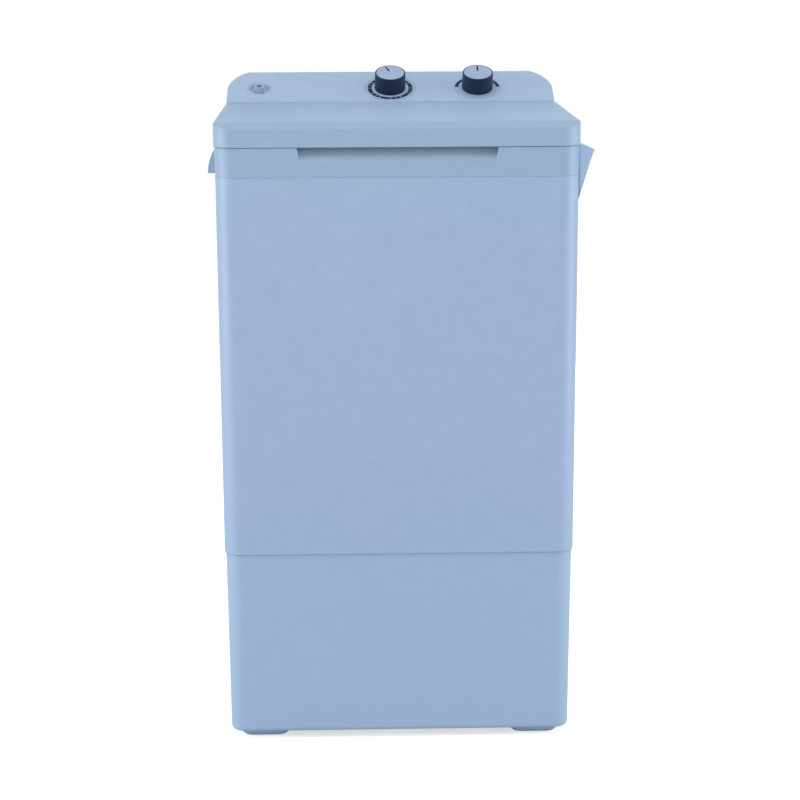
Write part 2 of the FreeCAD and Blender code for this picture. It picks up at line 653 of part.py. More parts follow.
def cylinder(name, radius, height, x="0", y="0", z="0", along="z"):
    """A cylinder that starts at x, y, z and runs along one axis."""
    rod = DOC.addObject("Part::Cylinder", name)
    bind(rod, Radius=radius, Height=height)
    turns = {
        "z": Rotation(),
        "x": Rotation(Vector(0, 1, 0), 90),
        "y": Rotation(Vector(1, 0, 0), -90),
    }
    rod.Placement = Placement(Vector(), turns[along])
    move(rod, x, y, z)
    return rod


def cone(name, low_radius, high_radius, height, x="0", y="0", z="0"):
    frustum = DOC.addObject("Part::Cone", name)
    bind(frustum, Radius1=low_radius, Radius2=high_radius, Height=height)
    move(frustum, x, y, z)
    return frustum


def fuse(name, *shapes):
    joined = DOC.addObject("Part::MultiFuse", name)
    joined.Shapes = list(shapes)
    joined.Refine = True
    return joined


def group(name, *shapes):
    """Separate solids kept together as one sub-part."""
    bundle = DOC.addObject("Part::Compound", name)
    bundle.Links = list(shapes)
    return bundle


def cut(name, base, *tools):
    """The base less every tool."""
    tool = tools[0] if len(tools) == 1 else fuse(name + "_tools", *tools)
    result = DOC.addObject("Part::Cut", name)
    result.Base = base
    result.Tool = tool
    return result


def common(name, first, second):
    result = DOC.addObject("Part::Common", name)
    result.Base = first
    result.Tool = second
    return result


def on_panel(target, x="0", height="0", along="size.knob_station"):
    """Stand a piece on the tilted panel, or at a height above it, with its own Z along the normal."""
    target.Placement = Placement(Vector(), Rotation(Vector(1, 0, 0), number("place.panel_angle")))
    move(
        target,
        x,
        f"place.console_front + ({along}) * cos(place.panel_angle) - ({height}) * sin(place.panel_angle)",
        f"place.lid_top + ({along}) * sin(place.panel_angle) + ({height}) * cos(place.panel_angle)",
    )
    return target


PARTS = []


def part(sub_part, label=None):
    """List a finished sub-part for export under its label."""
    if label:
        sub_part.Label = label
    PARTS.append(sub_part)
    return sub_part


# ---------------------------------------------------------------- outer shells


def make_base():
    """The lower shell with its floor, motor bosses, vents, service opening and drain hole."""
    body = new_body("base")
    outline = body_outline(new_sketch(body, offset="size.foot_height"), "place.base_bottom_inset")
    pad(body, outline, "place.base_height", taper="place.base_draft")
    foot_level = number("size.foot_height")
    round_edges(body, "size.base_edge", lambda edge: at_level(edge, foot_level))
    cavity = new_sketch(body, offset="size.split_level")
    body_outline(cavity, "place.base_top_inset + size.base_wall")
    pocket(body, cavity, "size.split_level - size.floor_level", taper="-place.base_draft")
    underside = new_sketch(body, offset="size.foot_height")
    body_outline(underside, "place.base_bottom_inset + size.base_wall + size.base_edge")
    pocket(body, underside, "place.floor_under - size.foot_height", reverse=True)
    rim = new_sketch(body, offset="size.split_level")
    body_outline(rim, "place.cabinet_bottom_inset + size.wall + size.fit_gap")
    body_outline(rim, "place.base_top_inset + size.base_wall")
    pad(body, rim, "size.rim_height")
    bosses = new_sketch(body, offset="size.floor_level")
    for x, y in motor_corners():
        circle(bosses, x, y, "size.boss_radius")
    pad(body, bosses, "size.boss_height")
    holes = new_sketch(body, offset="place.bush_bottom")
    for x, y in motor_corners():
        circle(holes, x, y, "size.mount_screw")
    pocket(body, holes, "size.boss_height")
    vent = new_sketch(body, offset="size.floor_level")
    run = "(size.vent_count - 1) * size.vent_pitch"
    rectangle(
        vent,
        "-place.motor_offset - size.vent_length / 2",
        "-place.motor_offset + size.vent_length / 2",
        f"place.tub_center - {run} / 2 - size.vent_width / 2",
        f"place.tub_center - {run} / 2 + size.vent_width / 2",
    )
    slot = pocket(body, vent, "size.floor_wall")
    linear(body, slot, "Y_Axis", run, "size.vent_count", grows=False)
    service = rectangle(
        new_sketch(body, "XZ_Plane"),
        "size.cover_overlap - size.cover_left",
        "size.cover_right - size.cover_overlap",
        "size.cover_bottom + size.cover_overlap",
        "size.cover_top - size.cover_overlap",
    )
    pocket(body, service, "place.half_depth")
    screw_holes = new_sketch(body, "XZ_Plane")
    for x, z in cover_screw_places():
        circle(screw_holes, x, f"size.foot_height + {z}", "size.screw_radius + size.fit_gap / 2")
    pocket(body, screw_holes, "place.half_depth")
    outlet = new_sketch(body, "YZ_Plane")
    circle(outlet, "place.drain_setback", "size.outlet_level", "size.pipe_radius + size.fit_gap")
    pocket(body, outlet, "place.half_width", reverse=True)
    return part(body)


def make_cabinet():
    """The tall middle shell, open at both ends, with a hole for the power cord's gland."""
    body = new_body("cabinet")
    outline = body_outline(new_sketch(body, offset="size.split_level"), "place.cabinet_bottom_inset")
    pad(body, outline, "place.cabinet_height", taper="place.cabinet_draft")
    cavity = body_outline(new_sketch(body, offset="size.collar_level"), "size.cabinet_inset + size.wall")
    pocket(body, cavity, "place.cabinet_height", taper="-place.cabinet_draft")
    gland = new_sketch(body, "XZ_Plane")
    circle(gland, "-size.gland_offset", "size.gland_level", "size.gland_radius + size.fit_gap")
    pocket(body, gland, "place.half_depth")
    return part(body)


def add_finger_recess(body):
    """A scoop in the collar's front, deepest under the lid's skirt, with slanted ends."""
    backing = body.newObject("PartDesign::AdditiveWedge", "recess_backing")
    scoop = body.newObject("PartDesign::SubtractiveWedge", "recess_scoop")
    face = "place.half_depth - size.collar_inset"
    for wedge, grown, front in (
        (backing, "size.wall", f"{face} - size.wall / 2"),
        (scoop, "0", f"{face} + size.wall"),
    ):
        wedge.Placement = Placement(Vector(), Rotation(Vector(1, 0, 0), 90))
        bind(
            wedge,
            Xmin=f"-size.recess_bottom / 2 - {grown}",
            Xmax=f"size.recess_bottom / 2 + {grown}",
            X2min=f"-size.recess_top / 2 - {grown}",
            X2max=f"size.recess_top / 2 + {grown}",
            Ymin=f"place.recess_bottom_level - {grown}",
            Ymax="size.deck_level",
            Zmin=f"{face} - {grown}",
            Zmax=front,
            Z2min=f"place.half_depth - size.recess_depth - {grown}",
            Z2max=front,
        )
    DOC.recompute()


def add_handles(body):
    """A carry handle on each side: a bowed lip, closed at its ends and open below."""
    wall_inside = "place.collar_face - size.wall / 2"
    wall_outside = "place.collar_top_face + size.fit_gap"
    outer = "place.collar_face + size.handle_reach"
    bow = "place.handle_bow"
    ear = new_sketch(body, "XZ_Plane", "-place.handle_front")
    contour(
        ear,
        (
            (wall_inside, "size.collar_level"),
            (wall_outside, "size.collar_level"),
            (wall_outside, "place.handle_bottom"),
            (outer, "place.handle_bottom"),
            (wall_inside, "size.deck_level"),
        ),
        bends=((3, bow, 1),),
    )
    lip = pad(body, ear, "size.handle_length", reverse=True)
    hollow = new_sketch(body, "XZ_Plane", "-place.handle_front - size.handle_wall")
    contour(
        hollow,
        (
            (wall_outside, "place.handle_bottom"),
            (f"{outer} - size.handle_wall", "place.handle_bottom"),
            (wall_outside, "place.handle_gap_top"),
        ),
        bends=((1, f"{bow} - size.handle_wall", 1),),
    )
    gap = pocket(body, hollow, "size.handle_length - 2 * size.handle_wall")
    mirror(body, [lip, gap])


def add_hinge_ears(body):
    """An upright ear on each side of the deck, bored for the hinge pin."""
    ear = new_sketch(body, "YZ_Plane", "size.hinge_spread - size.ear_width / 2")
    contour(
        ear,
        (
            ("place.hinge_setback - size.ear_half", "size.deck_level - size.wall / 2"),
            ("place.hinge_setback + size.ear_half", "size.deck_level - size.wall / 2"),
            ("place.hinge_setback + size.ear_half", "place.hinge_level"),
            ("place.hinge_setback", "place.hinge_level + size.ear_half"),
            ("place.hinge_setback - size.ear_half", "place.hinge_level"),
        ),
        bends=((2, "size.ear_half", 1), (3, "size.ear_half", 1)),
    )
    circle(ear, "place.hinge_setback", "place.hinge_level", "size.hinge_pin_radius")
    mirror(body, [pad(body, ear, "size.ear_width")])


def make_top_frame():
    """The collar: deck, tub seat, finger recess, carry handles and hinge ears in one moulding."""
    body = new_body("top_frame")
    outline = body_outline(new_sketch(body, offset="size.collar_level"), "size.cabinet_inset")
    pad(body, outline, "place.collar_height", taper="place.collar_draft")
    cavity = body_outline(new_sketch(body, offset="size.collar_level"), "size.cabinet_inset + size.wall")
    pocket(body, cavity, "place.collar_height - size.wall", reverse=True)
    rim = new_sketch(body, offset="size.collar_level")
    body_outline(rim, "size.cabinet_inset + size.wall + size.fit_gap")
    body_outline(rim, "size.cabinet_inset + 2 * size.wall + size.fit_gap")
    pad(body, rim, "size.rim_height", reverse=True)
    inner_step = new_sketch(body, offset="size.collar_level")
    body_outline(inner_step, "size.cabinet_inset + size.wall / 2")
    body_outline(inner_step, "size.cabinet_inset + 2 * size.wall + size.fit_gap")
    pad(body, inner_step, "size.wall")
    seat = tub_outline(
        new_sketch(body, offset="size.deck_level - size.wall / 2"),
        "size.tub_wall + size.flange_width + size.fit_gap + size.wall",
    )
    pad(body, seat, "size.wall / 2 + size.flange_wall", reverse=True)
    flange = tub_outline(
        new_sketch(body, offset="size.deck_level"), "size.tub_wall + size.flange_width + size.fit_gap"
    )
    pocket(body, flange, "size.flange_wall")
    mouth = tub_outline(new_sketch(body, offset="size.deck_level"), "size.tub_wall + size.fit_gap")
    pocket(body, mouth, "size.flange_wall + 2 * size.wall")
    add_finger_recess(body)
    passages = new_sketch(body, offset="size.deck_level")
    circle(passages, "size.selector_offset", "place.drain_setback", "2 * size.rod_radius")
    rectangle(
        passages,
        "-size.spout_offset - size.duct_size / 2 - size.fit_gap",
        "-size.spout_offset + size.duct_size / 2 + size.fit_gap",
        "place.duct_front - size.fit_gap",
        "place.duct_front + size.duct_size + size.fit_gap",
    )
    pocket(body, passages, "size.wall")
    add_handles(body)
    add_hinge_ears(body)
    return part(body)


def make_hose_holder():
    """A wedge on the right side near the front, hollow from the rear for the drain hose's clip."""
    body = new_body("hose_holder")
    face = "place.collar_top_face"
    outer = "place.collar_face + size.holder_reach"
    wedge = new_sketch(body, "XZ_Plane", "-place.holder_front")
    contour(
        wedge,
        (
            (face, "size.deck_level"),
            (face, "size.deck_level - size.holder_height"),
            (f"{outer} - size.holder_waist", "size.deck_level - size.holder_slope - size.holder_nose"),
            (outer, "size.deck_level - size.holder_slope - 2 * size.holder_round"),
            (outer, "size.deck_level - size.holder_slope"),
            (f"{face} + size.holder_ledge", "size.deck_level"),
        ),
        bends=((3, "1.5 * size.holder_round", 1),),
    )
    pad(body, wedge, "size.holder_length", reverse=True)
    rear = "-place.holder_front - size.holder_length"
    hollow = new_sketch(body, "XZ_Plane", rear)
    contour(
        hollow,
        (
            (f"{face} + size.wall", "size.deck_level - size.holder_height + 4 * size.wall"),
            (
                f"{outer} - size.holder_waist - size.wall",
                "size.deck_level - size.holder_slope - size.holder_nose",
            ),
            (f"{outer} - size.holder_waist", "size.deck_level - size.holder_slope - 1.5 * size.wall"),
            (f"{face} + size.wall", "size.deck_level - size.wall"),
        ),
    )
    pocket(body, hollow, "size.holder_length - size.wall", reverse=True)
    return part(body)


def make_feet():
    """Four corner feet under the base floor, each with rounded lower edges."""
    for name, side, end, inset in (
        ("foot_front_left", "-1", "-1", "0"),
        ("foot_front_right", "1", "-1", "0"),
        ("foot_rear_left", "-1", "1", "size.rear_foot_inset"),
        ("foot_rear_right", "1", "1", "size.rear_foot_inset"),
    ):
        body = new_body(name)
        block = rectangle(
            new_sketch(body),
            "-size.foot_length / 2",
            "size.foot_length / 2",
            "-size.foot_depth / 2",
            "size.foot_depth / 2",
        )
        pad(body, block, "place.floor_under")
        round_edges(body, "size.foot_round", is_upright)
        round_edges(body, "size.foot_edge", lambda edge: at_level(edge, 0))
        move(
            body,
            f"{side} * (place.foot_edge - {inset} - size.foot_length / 2)",
            f"{end} * (place.foot_front - {inset} - size.foot_depth / 2)",
        )
        part(body)


# ---------------------------------------------------------------- lid and hinge


def plan_prism(name, inset):
    """An upright prism of the body's plan outline, through the lid and the console."""
    body = new_body(name)
    outline = body_outline(new_sketch(body, offset="size.collar_level"), inset)
    pad(body, outline, "place.panel_top + size.wall - size.collar_level")
    return body


def lid_form(name, inset):
    """The lid's outer form, or the same form drawn a given distance inside it."""
    body = new_body(name)
    outline = body_outline(new_sketch(body, offset=f"place.lid_bottom - ({inset})"), inset)
    pad(body, outline, "place.lid_top + size.wall - place.lid_bottom")
    front = f"({inset}) - place.half_depth"
    around = new_sketch(body, "YZ_Plane")
    contour(
        around,
        (
            ("-size.body_depth", f"place.crease_level - {inset}"),
            (front, f"place.crease_level - {inset}"),
            (f"{front} + size.slope_width - {inset}", f"place.crown_front - {inset}"),
            ("place.hinge_setback", f"place.lid_top - {inset}"),
            (f"place.lid_rear - {inset}", "place.hinge_level"),
            (f"place.hinge_setback + 3 * size.hinge_radius / 4 - {inset}", "place.hinge_under"),
            (f"place.hinge_setback - {inset}", f"place.lid_bottom - {inset}"),
            (f"place.hinge_setback - {inset}", f"place.lid_bottom - size.lid_wall - {inset}"),
            ("size.body_depth", f"place.lid_bottom - size.lid_wall - {inset}"),
            ("size.body_depth", "place.lid_top + 2 * size.wall"),
            ("-size.body_depth", "place.lid_top + 2 * size.wall"),
        ),
        bends=((3, f"size.hinge_radius - {inset}", -1),),
    )
    pocket(body, around, "2 * size.body_width", middle=True)
    return body


def round_lid(body):
    """Ease the crease across the lid's top, then its front and side edges down to the hinge."""
    crease = number("size.slope_width - place.half_depth")
    round_edges(body, "size.crease_round", lambda edge: crosses_at(edge, crease))
    level = number("place.crease_level")
    rear = number("place.hinge_setback")
    corner = number("size.front_corner - place.half_depth")

    def on_brim(edge):
        bounds = edge.BoundBox
        across = bounds.XLength > bounds.YLength and bounds.YMin > corner
        return bounds.ZMin > level - NEAR and bounds.YMax < rear + NEAR and not across

    round_edges(body, "size.brim_round", on_brim)
    return body


def make_lid():
    """The lid: a shell with stiffening ribs, bumper bosses, hinge slots and knuckles."""
    outer = round_lid(lid_form("lid_outer", "0"))
    inner = lid_form("lid_inner", "size.lid_wall")
    core = lid_form("lid_core", "(size.lid_wall + size.lid_rib)")
    shell = cut("lid_shell", outer, inner)
    bars = []
    for index, x in enumerate(("-1.5", "-0.5", "0.5", "1.5")):
        bars.append(
            box(
                f"lid_long_rib_{index}",
                f"{x} * size.lid_rib_pitch - size.lid_wall / 2",
                "place.lid_rear - place.lid_length",
                "place.crease_level - size.lid_wall",
                "size.lid_wall",
                "place.lid_length",
                "size.crown_rise + size.slope_rise + size.lid_wall",
            )
        )
    for index, y in enumerate(("0.25", "0.5", "0.75")):
        bars.append(
            box(
                f"lid_cross_rib_{index}",
                "-place.half_width",
                f"{y} * place.lid_length - place.half_depth - size.lid_wall / 2",
                "place.crease_level - size.lid_wall",
                "size.body_width",
                "size.lid_wall",
                "size.crown_rise + size.slope_rise + size.lid_wall",
            )
        )
    grid = cut("lid_ribs", common("lid_rib_grid", fuse("lid_rib_bars", *bars), outer), core)
    pieces = [shell, grid]
    for index, (x, y) in enumerate(bumper_places()):
        pieces.append(
            common(
                f"lid_boss_{index}",
                cylinder(
                    f"lid_boss_rod_{index}",
                    "size.bumper_radius - size.bumper_step",
                    "place.lid_top - place.lid_bottom",
                    x,
                    y,
                    "size.deck_level + size.bumper_height + size.fit_gap",
                ),
                outer,
            )
        )
    slots = []
    for index, side in enumerate(("-1", "1")):
        slots.append(
            box(
                f"lid_slot_{index}",
                f"{side} * size.hinge_spread - size.ear_width / 2 - 3 * size.fit_gap",
                "place.hinge_setback - size.ear_half - 3 * size.fit_gap",
                "place.lid_bottom - size.lid_wall",
                "size.ear_width + 6 * size.fit_gap",
                "4 * size.hinge_radius",
                "place.hinge_level - place.lid_bottom + size.lid_wall + 3 * size.hinge_radius / 5",
            )
        )
        slots.append(
            cylinder(
                f"lid_slot_round_{index}",
                "size.ear_half + size.knuckle_wall",
                "size.ear_width + 6 * size.fit_gap",
                f"{side} * size.hinge_spread - size.ear_width / 2 - 3 * size.fit_gap",
                "place.hinge_setback",
                "place.hinge_level",
                along="x",
            )
        )
        knuckle_middle = f"{side} * (size.hinge_spread + size.ear_width + 2 * size.fit_gap)"
        knuckle_left = f"{knuckle_middle} - size.ear_width / 2"
        disc = cylinder(
            f"lid_knuckle_{index}",
            "size.ear_half + size.knuckle_wall",
            "size.ear_width",
            knuckle_left,
            "place.hinge_setback",
            "place.hinge_level",
            along="x",
        )
        web = box(
            f"lid_knuckle_web_{index}",
            knuckle_left,
            "place.hinge_setback - size.ear_half - size.knuckle_wall",
            "place.hinge_level",
            "size.ear_width",
            "2 * (size.ear_half + size.knuckle_wall)",
            "size.hinge_radius",
        )
        pieces.append(common(f"lid_hinge_{index}", fuse(f"lid_hinge_block_{index}", disc, web), outer))
    bores = cylinder(
        "lid_hinge_bore",
        "size.hinge_pin_radius + size.running_gap",
        "size.body_width - 4 * size.lid_wall",
        "2 * size.lid_wall - place.half_width",
        "place.hinge_setback",
        "place.hinge_level",
        along="x",
    )
    return part(cut("lid_piece", fuse("lid_whole", *pieces), *slots, bores), "lid")


def make_hinge_pins():
    pins = []
    for index, side in enumerate(("-1", "1")):
        pins.append(
            cylinder(
                f"hinge_pin_{index}",
                "size.hinge_pin_radius",
                "2 * size.ear_width + 8 * size.fit_gap",
                f"{side} * (size.hinge_spread + size.ear_width / 2 + size.fit_gap)"
                " - size.ear_width - 4 * size.fit_gap",
                "place.hinge_setback",
                "place.hinge_level",
                along="x",
            )
        )
    return part(group("hinge_pins_group", *pins), "lid_hinge_pins")


def bumper_places():
    """Centres of the four bumpers on the deck."""
    x = "(place.half_width - size.bumper_inset)"
    return (
        (f"-{x}", "place.tub_center - size.bumper_spread"),
        (x, "place.tub_center - size.bumper_spread"),
        (f"-{x}", "place.tub_center + size.bumper_spread"),
        (x, "place.tub_center + size.bumper_spread"),
    )


def make_bumpers():
    discs = []
    height = "size.bumper_height"
    for index, (x, y) in enumerate(bumper_places()):
        disc = cylinder(f"bumper_{index}", "size.bumper_radius", height, x, y, "size.deck_level")
        discs.append(disc)
    return part(group("bumpers_group", *discs), "lid_bumpers")


# ---------------------------------------------------------------- console


def console_form(name, inset):
    """The console's outer form, or the same form drawn a given distance inside it."""
    body = new_body(name)
    drop = f"{inset} / cos(place.panel_angle)"
    side = new_sketch(body, "YZ_Plane")
    contour(
        side,
        (
            (f"place.console_front + {inset}", f"size.deck_level - {inset}"),
            (f"place.half_depth - {inset}", f"size.deck_level - {inset}"),
            (f"place.half_depth - {inset}", f"place.panel_top - place.console_bevel - {inset}"),
            ("place.console_front + size.panel_run", f"place.panel_top - {drop}"),
            (
                f"place.console_front + {inset}",
                f"place.lid_top + {inset} * tan(place.panel_angle) - {drop}",
            ),
        ),
    )
    pad(body, side, f"size.body_width - 2 * ({inset})", middle=True)
    return common(name + "_form", body, plan_prism(name + "_plan", inset))


def make_console():
    """The hollow console with its tilted panel, open below, standing on the deck."""
    outer = console_form("console_outer", "0")
    inner = console_form("console_inner", "size.wall")
    holes = []
    for name, x, radius in (
        ("timer_hole", "0", "size.spindle_radius + 1"),
        ("selector_hole", "size.selector_offset", "size.spindle_radius + 1"),
        ("inlet_hole", "-size.inlet_offset", "size.inlet_radius"),
    ):
        drill = DOC.addObject("Part::Cylinder", name)
        bind(drill, Radius=radius, Height="4 * size.wall")
        on_panel(drill, x, "-2 * size.wall")
        holes.append(drill)
    return part(cut("console_piece", cut("console_shell", outer, inner), *holes), "console")


def make_knob(name, x):
    """A hollow knob with a hub for its spindle and a shallow seat for its cap."""
    body = new_body(name)
    top = "(size.knob_gap + size.knob_height)"
    under = f"{top} - size.cap_wall - size.knob_wall"
    side = new_sketch(body, "XZ_Plane")
    contour(
        side,
        (
            ("size.spindle_radius", "size.knob_gap + size.knob_wall"),
            ("size.spindle_radius + size.knob_wall", "size.knob_gap + size.knob_wall"),
            ("size.spindle_radius + size.knob_wall", under),
            ("size.knob_radius - size.knob_wall - size.knob_taper", under),
            ("size.knob_radius - size.knob_wall", "size.knob_gap"),
            ("size.knob_radius", "size.knob_gap"),
            ("size.knob_radius - size.knob_taper", f"{top} - size.knob_wall / 4"),
            ("size.knob_radius - size.knob_taper - size.knob_wall / 4", top),
            ("size.knob_radius - size.knob_taper - size.knob_rim", top),
            ("size.knob_radius - size.knob_taper - size.knob_rim", f"{top} - size.cap_wall"),
            ("size.spindle_radius", f"{top} - size.cap_wall"),
        ),
    )
    revolve(body, side)
    return part(on_panel(body, x))


def make_knob_cap(name, x, pointer_angle):
    """The light cap set into a knob, slotted through where its pointer shows."""
    body = new_body(name)
    disc = new_sketch(body, offset="size.knob_gap + size.knob_height - size.cap_wall")
    circle(disc, "0", "0", "size.knob_radius - size.knob_taper - size.knob_rim - size.fit_gap / 3")
    pad(body, disc, "size.cap_wall")
    slot = new_sketch(body, offset="size.knob_gap + size.knob_height")
    slot.AttachmentOffset = Placement(Vector(), Rotation(Vector(0, 0, 1), number(pointer_angle)))
    rectangle(
        slot,
        "-size.pointer_width / 2",
        "size.pointer_width / 2",
        "size.spindle_radius + size.cap_wall",
        "size.spindle_radius + size.cap_wall + size.pointer_length",
    )
    pocket(body, slot, "size.cap_wall")
    return part(on_panel(body, x))


def make_spindle(name, x, depth):
    """A knob's spindle, from inside the knob down through the panel."""
    body = new_body(name)
    rod = circle(new_sketch(body, offset=f"-({depth})"), "0", "0", "size.spindle_radius")
    pad(body, rod, f"size.knob_gap + size.knob_height - size.cap_wall + ({depth})")
    return part(on_panel(body, x))


def panel_box(name, x, along, height, width, depth, thickness):
    """A block under the panel: centred on x and along, its top at the given height."""
    block = DOC.addObject("Part::Box", name)
    bind(block, Length=width, Width=depth, Height=thickness)
    on_panel(block, f"{x} - ({width}) / 2", f"{height} - ({thickness})", f"{along} - ({depth}) / 2")
    return block


def make_wash_timer():
    """The clockwork timer: case, gear cover and terminals, bored for its spindle."""
    x = "0"
    case = panel_box(
        "timer_case",
        x,
        "size.knob_station",
        "-size.wall",
        "size.timer_width",
        "size.timer_depth",
        "size.timer_height",
    )
    cover = panel_box(
        "timer_cover",
        x,
        "size.knob_station",
        "-size.wall - size.timer_height",
        "size.timer_width - 4 * size.wall",
        "size.timer_depth - 4 * size.wall",
        "2 * size.wall",
    )
    tabs = []
    for index in range(3):
        tabs.append(
            panel_box(
                f"timer_terminal_{index}",
                f"{index - 1} * size.timer_width / 4",
                "size.knob_station",
                "-size.wall - size.timer_height - 2 * size.wall",
                "2 * size.wall",
                "size.cap_wall",
                "2 * size.wall",
            )
        )
    bore = DOC.addObject("Part::Cylinder", "timer_bore")
    bind(bore, Radius="size.spindle_radius + size.running_gap", Height="size.timer_height")
    on_panel(bore, x, "-size.timer_height")
    return part(cut("timer_piece", fuse("timer_block", case, cover, *tabs), bore), "wash_timer")


def make_selector_switch():
    """The wash and drain selector under the panel, bored through for its spindle."""
    x = "size.selector_offset"
    case = panel_box(
        "selector_case",
        x,
        "size.knob_station",
        "-size.wall",
        "size.selector_width",
        "size.selector_depth",
        "size.selector_height",
    )
    bore = DOC.addObject("Part::Cylinder", "selector_bore")
    bind(bore, Radius="size.spindle_radius + size.running_gap", Height="2 * size.selector_height")
    on_panel(bore, x, "-1.5 * size.selector_height")
    return part(cut("selector_piece", case, bore), "selector_switch")


def make_selector_lever():
    """The lever under the selector that pulls the drain valve's rod."""
    body = new_body("selector_lever")
    arm = new_sketch(body, offset="-size.wall - size.selector_height - size.fit_gap - size.wall")
    reach = "size.lever_reach"
    half = "size.lever_width / 2"
    contour(
        arm,
        (
            (half, "0"),
            ("0", half),
            (f"-({half})", "0"),
            (f"-({half})", f"-({reach})"),
            ("0", f"-({reach}) - {half}"),
            (half, f"-({reach})"),
        ),
        bends=((0, half, 1), (1, half, 1), (3, half, 1), (4, half, 1)),
    )
    pad(body, arm, "size.wall")
    hole = new_sketch(body, offset="-size.wall - size.selector_height - size.fit_gap")
    circle(hole, "0", "0", "size.spindle_radius")
    pocket(body, hole, "size.wall")
    return part(on_panel(body, "size.selector_offset"))


def make_water_inlet():
    """The dished inlet recess with its hose nozzle and the pipe below it."""
    body = new_body("water_inlet")
    cup = "(size.inlet_radius - size.fit_gap)"
    side = new_sketch(body, "XZ_Plane")
    contour(
        side,
        (
            ("size.nozzle_bore", "-2 * size.inlet_dish - size.wall"),
            ("size.nozzle_radius", "-2 * size.inlet_dish - size.wall"),
            ("size.nozzle_radius", "-size.inlet_dish - size.duct_wall"),
            (f"{cup} - size.duct_wall / 2", "-size.inlet_dish - size.duct_wall"),
            (cup, "-size.inlet_dish"),
            (cup, "-size.wall - size.duct_wall"),
            (f"{cup} + size.duct_wall * 2", "-size.wall - size.duct_wall"),
            (f"{cup} + size.duct_wall * 2", "-size.wall"),
            (cup, "-size.wall"),
            (cup, "0"),
            (f"{cup} - size.duct_wall", "0"),
            (f"{cup} - 3 * size.duct_wall / 2", "-size.inlet_dish / 2"),
            (f"{cup} - 3 * size.duct_wall", "-size.inlet_dish"),
            ("size.nozzle_radius", "-size.inlet_dish"),
            ("size.nozzle_radius", "size.nozzle_height"),
            ("size.nozzle_bore", "size.nozzle_height"),
        ),
    )
    revolve(body, side)
    return part(on_panel(body, "-size.inlet_offset"))


def duct_run(name, x, y, z, width, depth, height):
    """One straight stretch of the inlet duct, as its outside and its bore."""
    wall = "size.duct_wall"
    outside = box(name, x, y, z, width, depth, height)
    bore = box(
        name + "_bore",
        f"{x} + {wall}",
        f"{y} + {wall}",
        f"{z} + {wall}",
        f"{width} - 2 * {wall}",
        f"{depth} - 2 * {wall}",
        f"{height} - 2 * {wall}",
    )
    return outside, bore


def make_inlet_duct():
    """The square duct from the inlet along the deck, down behind the tub and through its wall."""
    width = "size.duct_size"
    left = "(-size.inlet_offset - size.duct_size / 2)"
    spout_left = "(-size.spout_offset - size.duct_size / 2)"
    rear = "place.duct_front"
    bottom = "(size.spout_level - size.duct_size / 2)"
    deck_run = f"{spout_left} + {width} - {left}"
    fall = f"size.deck_level + {width} - {bottom}"
    runs = (
        duct_run("duct_riser", left, rear, "size.deck_level", width, width, "size.duct_rise"),
        duct_run("duct_deck", left, rear, "size.deck_level", deck_run, width, width),
        duct_run("duct_fall", spout_left, rear, bottom, width, width, fall),
        duct_run(
            "duct_spout",
            spout_left,
            "place.spout_end",
            bottom,
            width,
            f"{rear} + {width} - place.spout_end",
            width,
        ),
    )
    mouth = cylinder(
        "duct_mouth",
        "size.nozzle_radius + size.fit_gap",
        "2 * size.duct_wall",
        "-size.inlet_offset",
        f"{rear} + {width} / 2",
        "size.deck_level + size.duct_rise - 1.5 * size.duct_wall",
    )
    spout = box(
        "duct_spout_mouth",
        f"{spout_left} + size.duct_wall",
        "place.spout_end - size.duct_wall",
        f"{bottom} + size.duct_wall",
        f"{width} - 2 * size.duct_wall",
        "3 * size.duct_wall",
        f"{width} - 2 * size.duct_wall",
    )
    outside = fuse("duct_outside", *(run[0] for run in runs))
    return part(cut("duct_piece", outside, *(run[1] for run in runs), mouth, spout), "inlet_duct")


# ---------------------------------------------------------------- wash tub


def tub_rib(body, role, offset, wall_bottom, wall_top, inward):
    """A rib up the tub's wall, as deep at the floor as the rib depth and fading out at its top."""
    rib = new_sketch(body, role, offset)
    low = "size.tub_floor - size.tub_bottom_wall / 2"
    high = "size.tub_floor + size.rib_height"
    contour(
        rib,
        (
            (f"{wall_bottom} - {inward} * size.tub_wall / 2", low),
            (f"{wall_top} - {inward} * size.tub_wall / 2", high),
            (f"{wall_top} + {inward} * size.rib_depth / 2", f"{high} - 4 * size.rib_depth"),
            (f"{wall_bottom} + {inward} * size.rib_depth", low),
        ),
    )
    return pad(body, rib, "size.rib_width")


def make_wash_tub():
    """The rounded-square tub with its flange, washing ribs, filter rails and ports."""
    body = new_body("wash_tub")
    outline = tub_outline(new_sketch(body, offset="place.tub_rim"), "size.tub_wall")
    pad(body, outline, "place.tub_height", taper="-place.tub_draft", reverse=True)
    flange = tub_outline(new_sketch(body, offset="place.tub_rim"), "size.tub_wall + size.flange_width")
    pad(body, flange, "size.flange_wall", reverse=True)
    cavity = tub_outline(new_sketch(body, offset="place.tub_rim"), "0")
    pocket(body, cavity, "place.tub_rim - size.tub_floor", taper="-place.tub_draft")
    floor = number("size.tub_floor")
    round_edges(body, "size.tub_edge - size.tub_wall", lambda edge: at_level(edge, floor))
    under = number("place.tub_under")
    round_edges(body, "size.tub_edge", lambda edge: at_level(edge, under))
    add_washing_ribs(body)
    add_filter_rails(body)
    cut_tub_ports(body)
    return part(body)


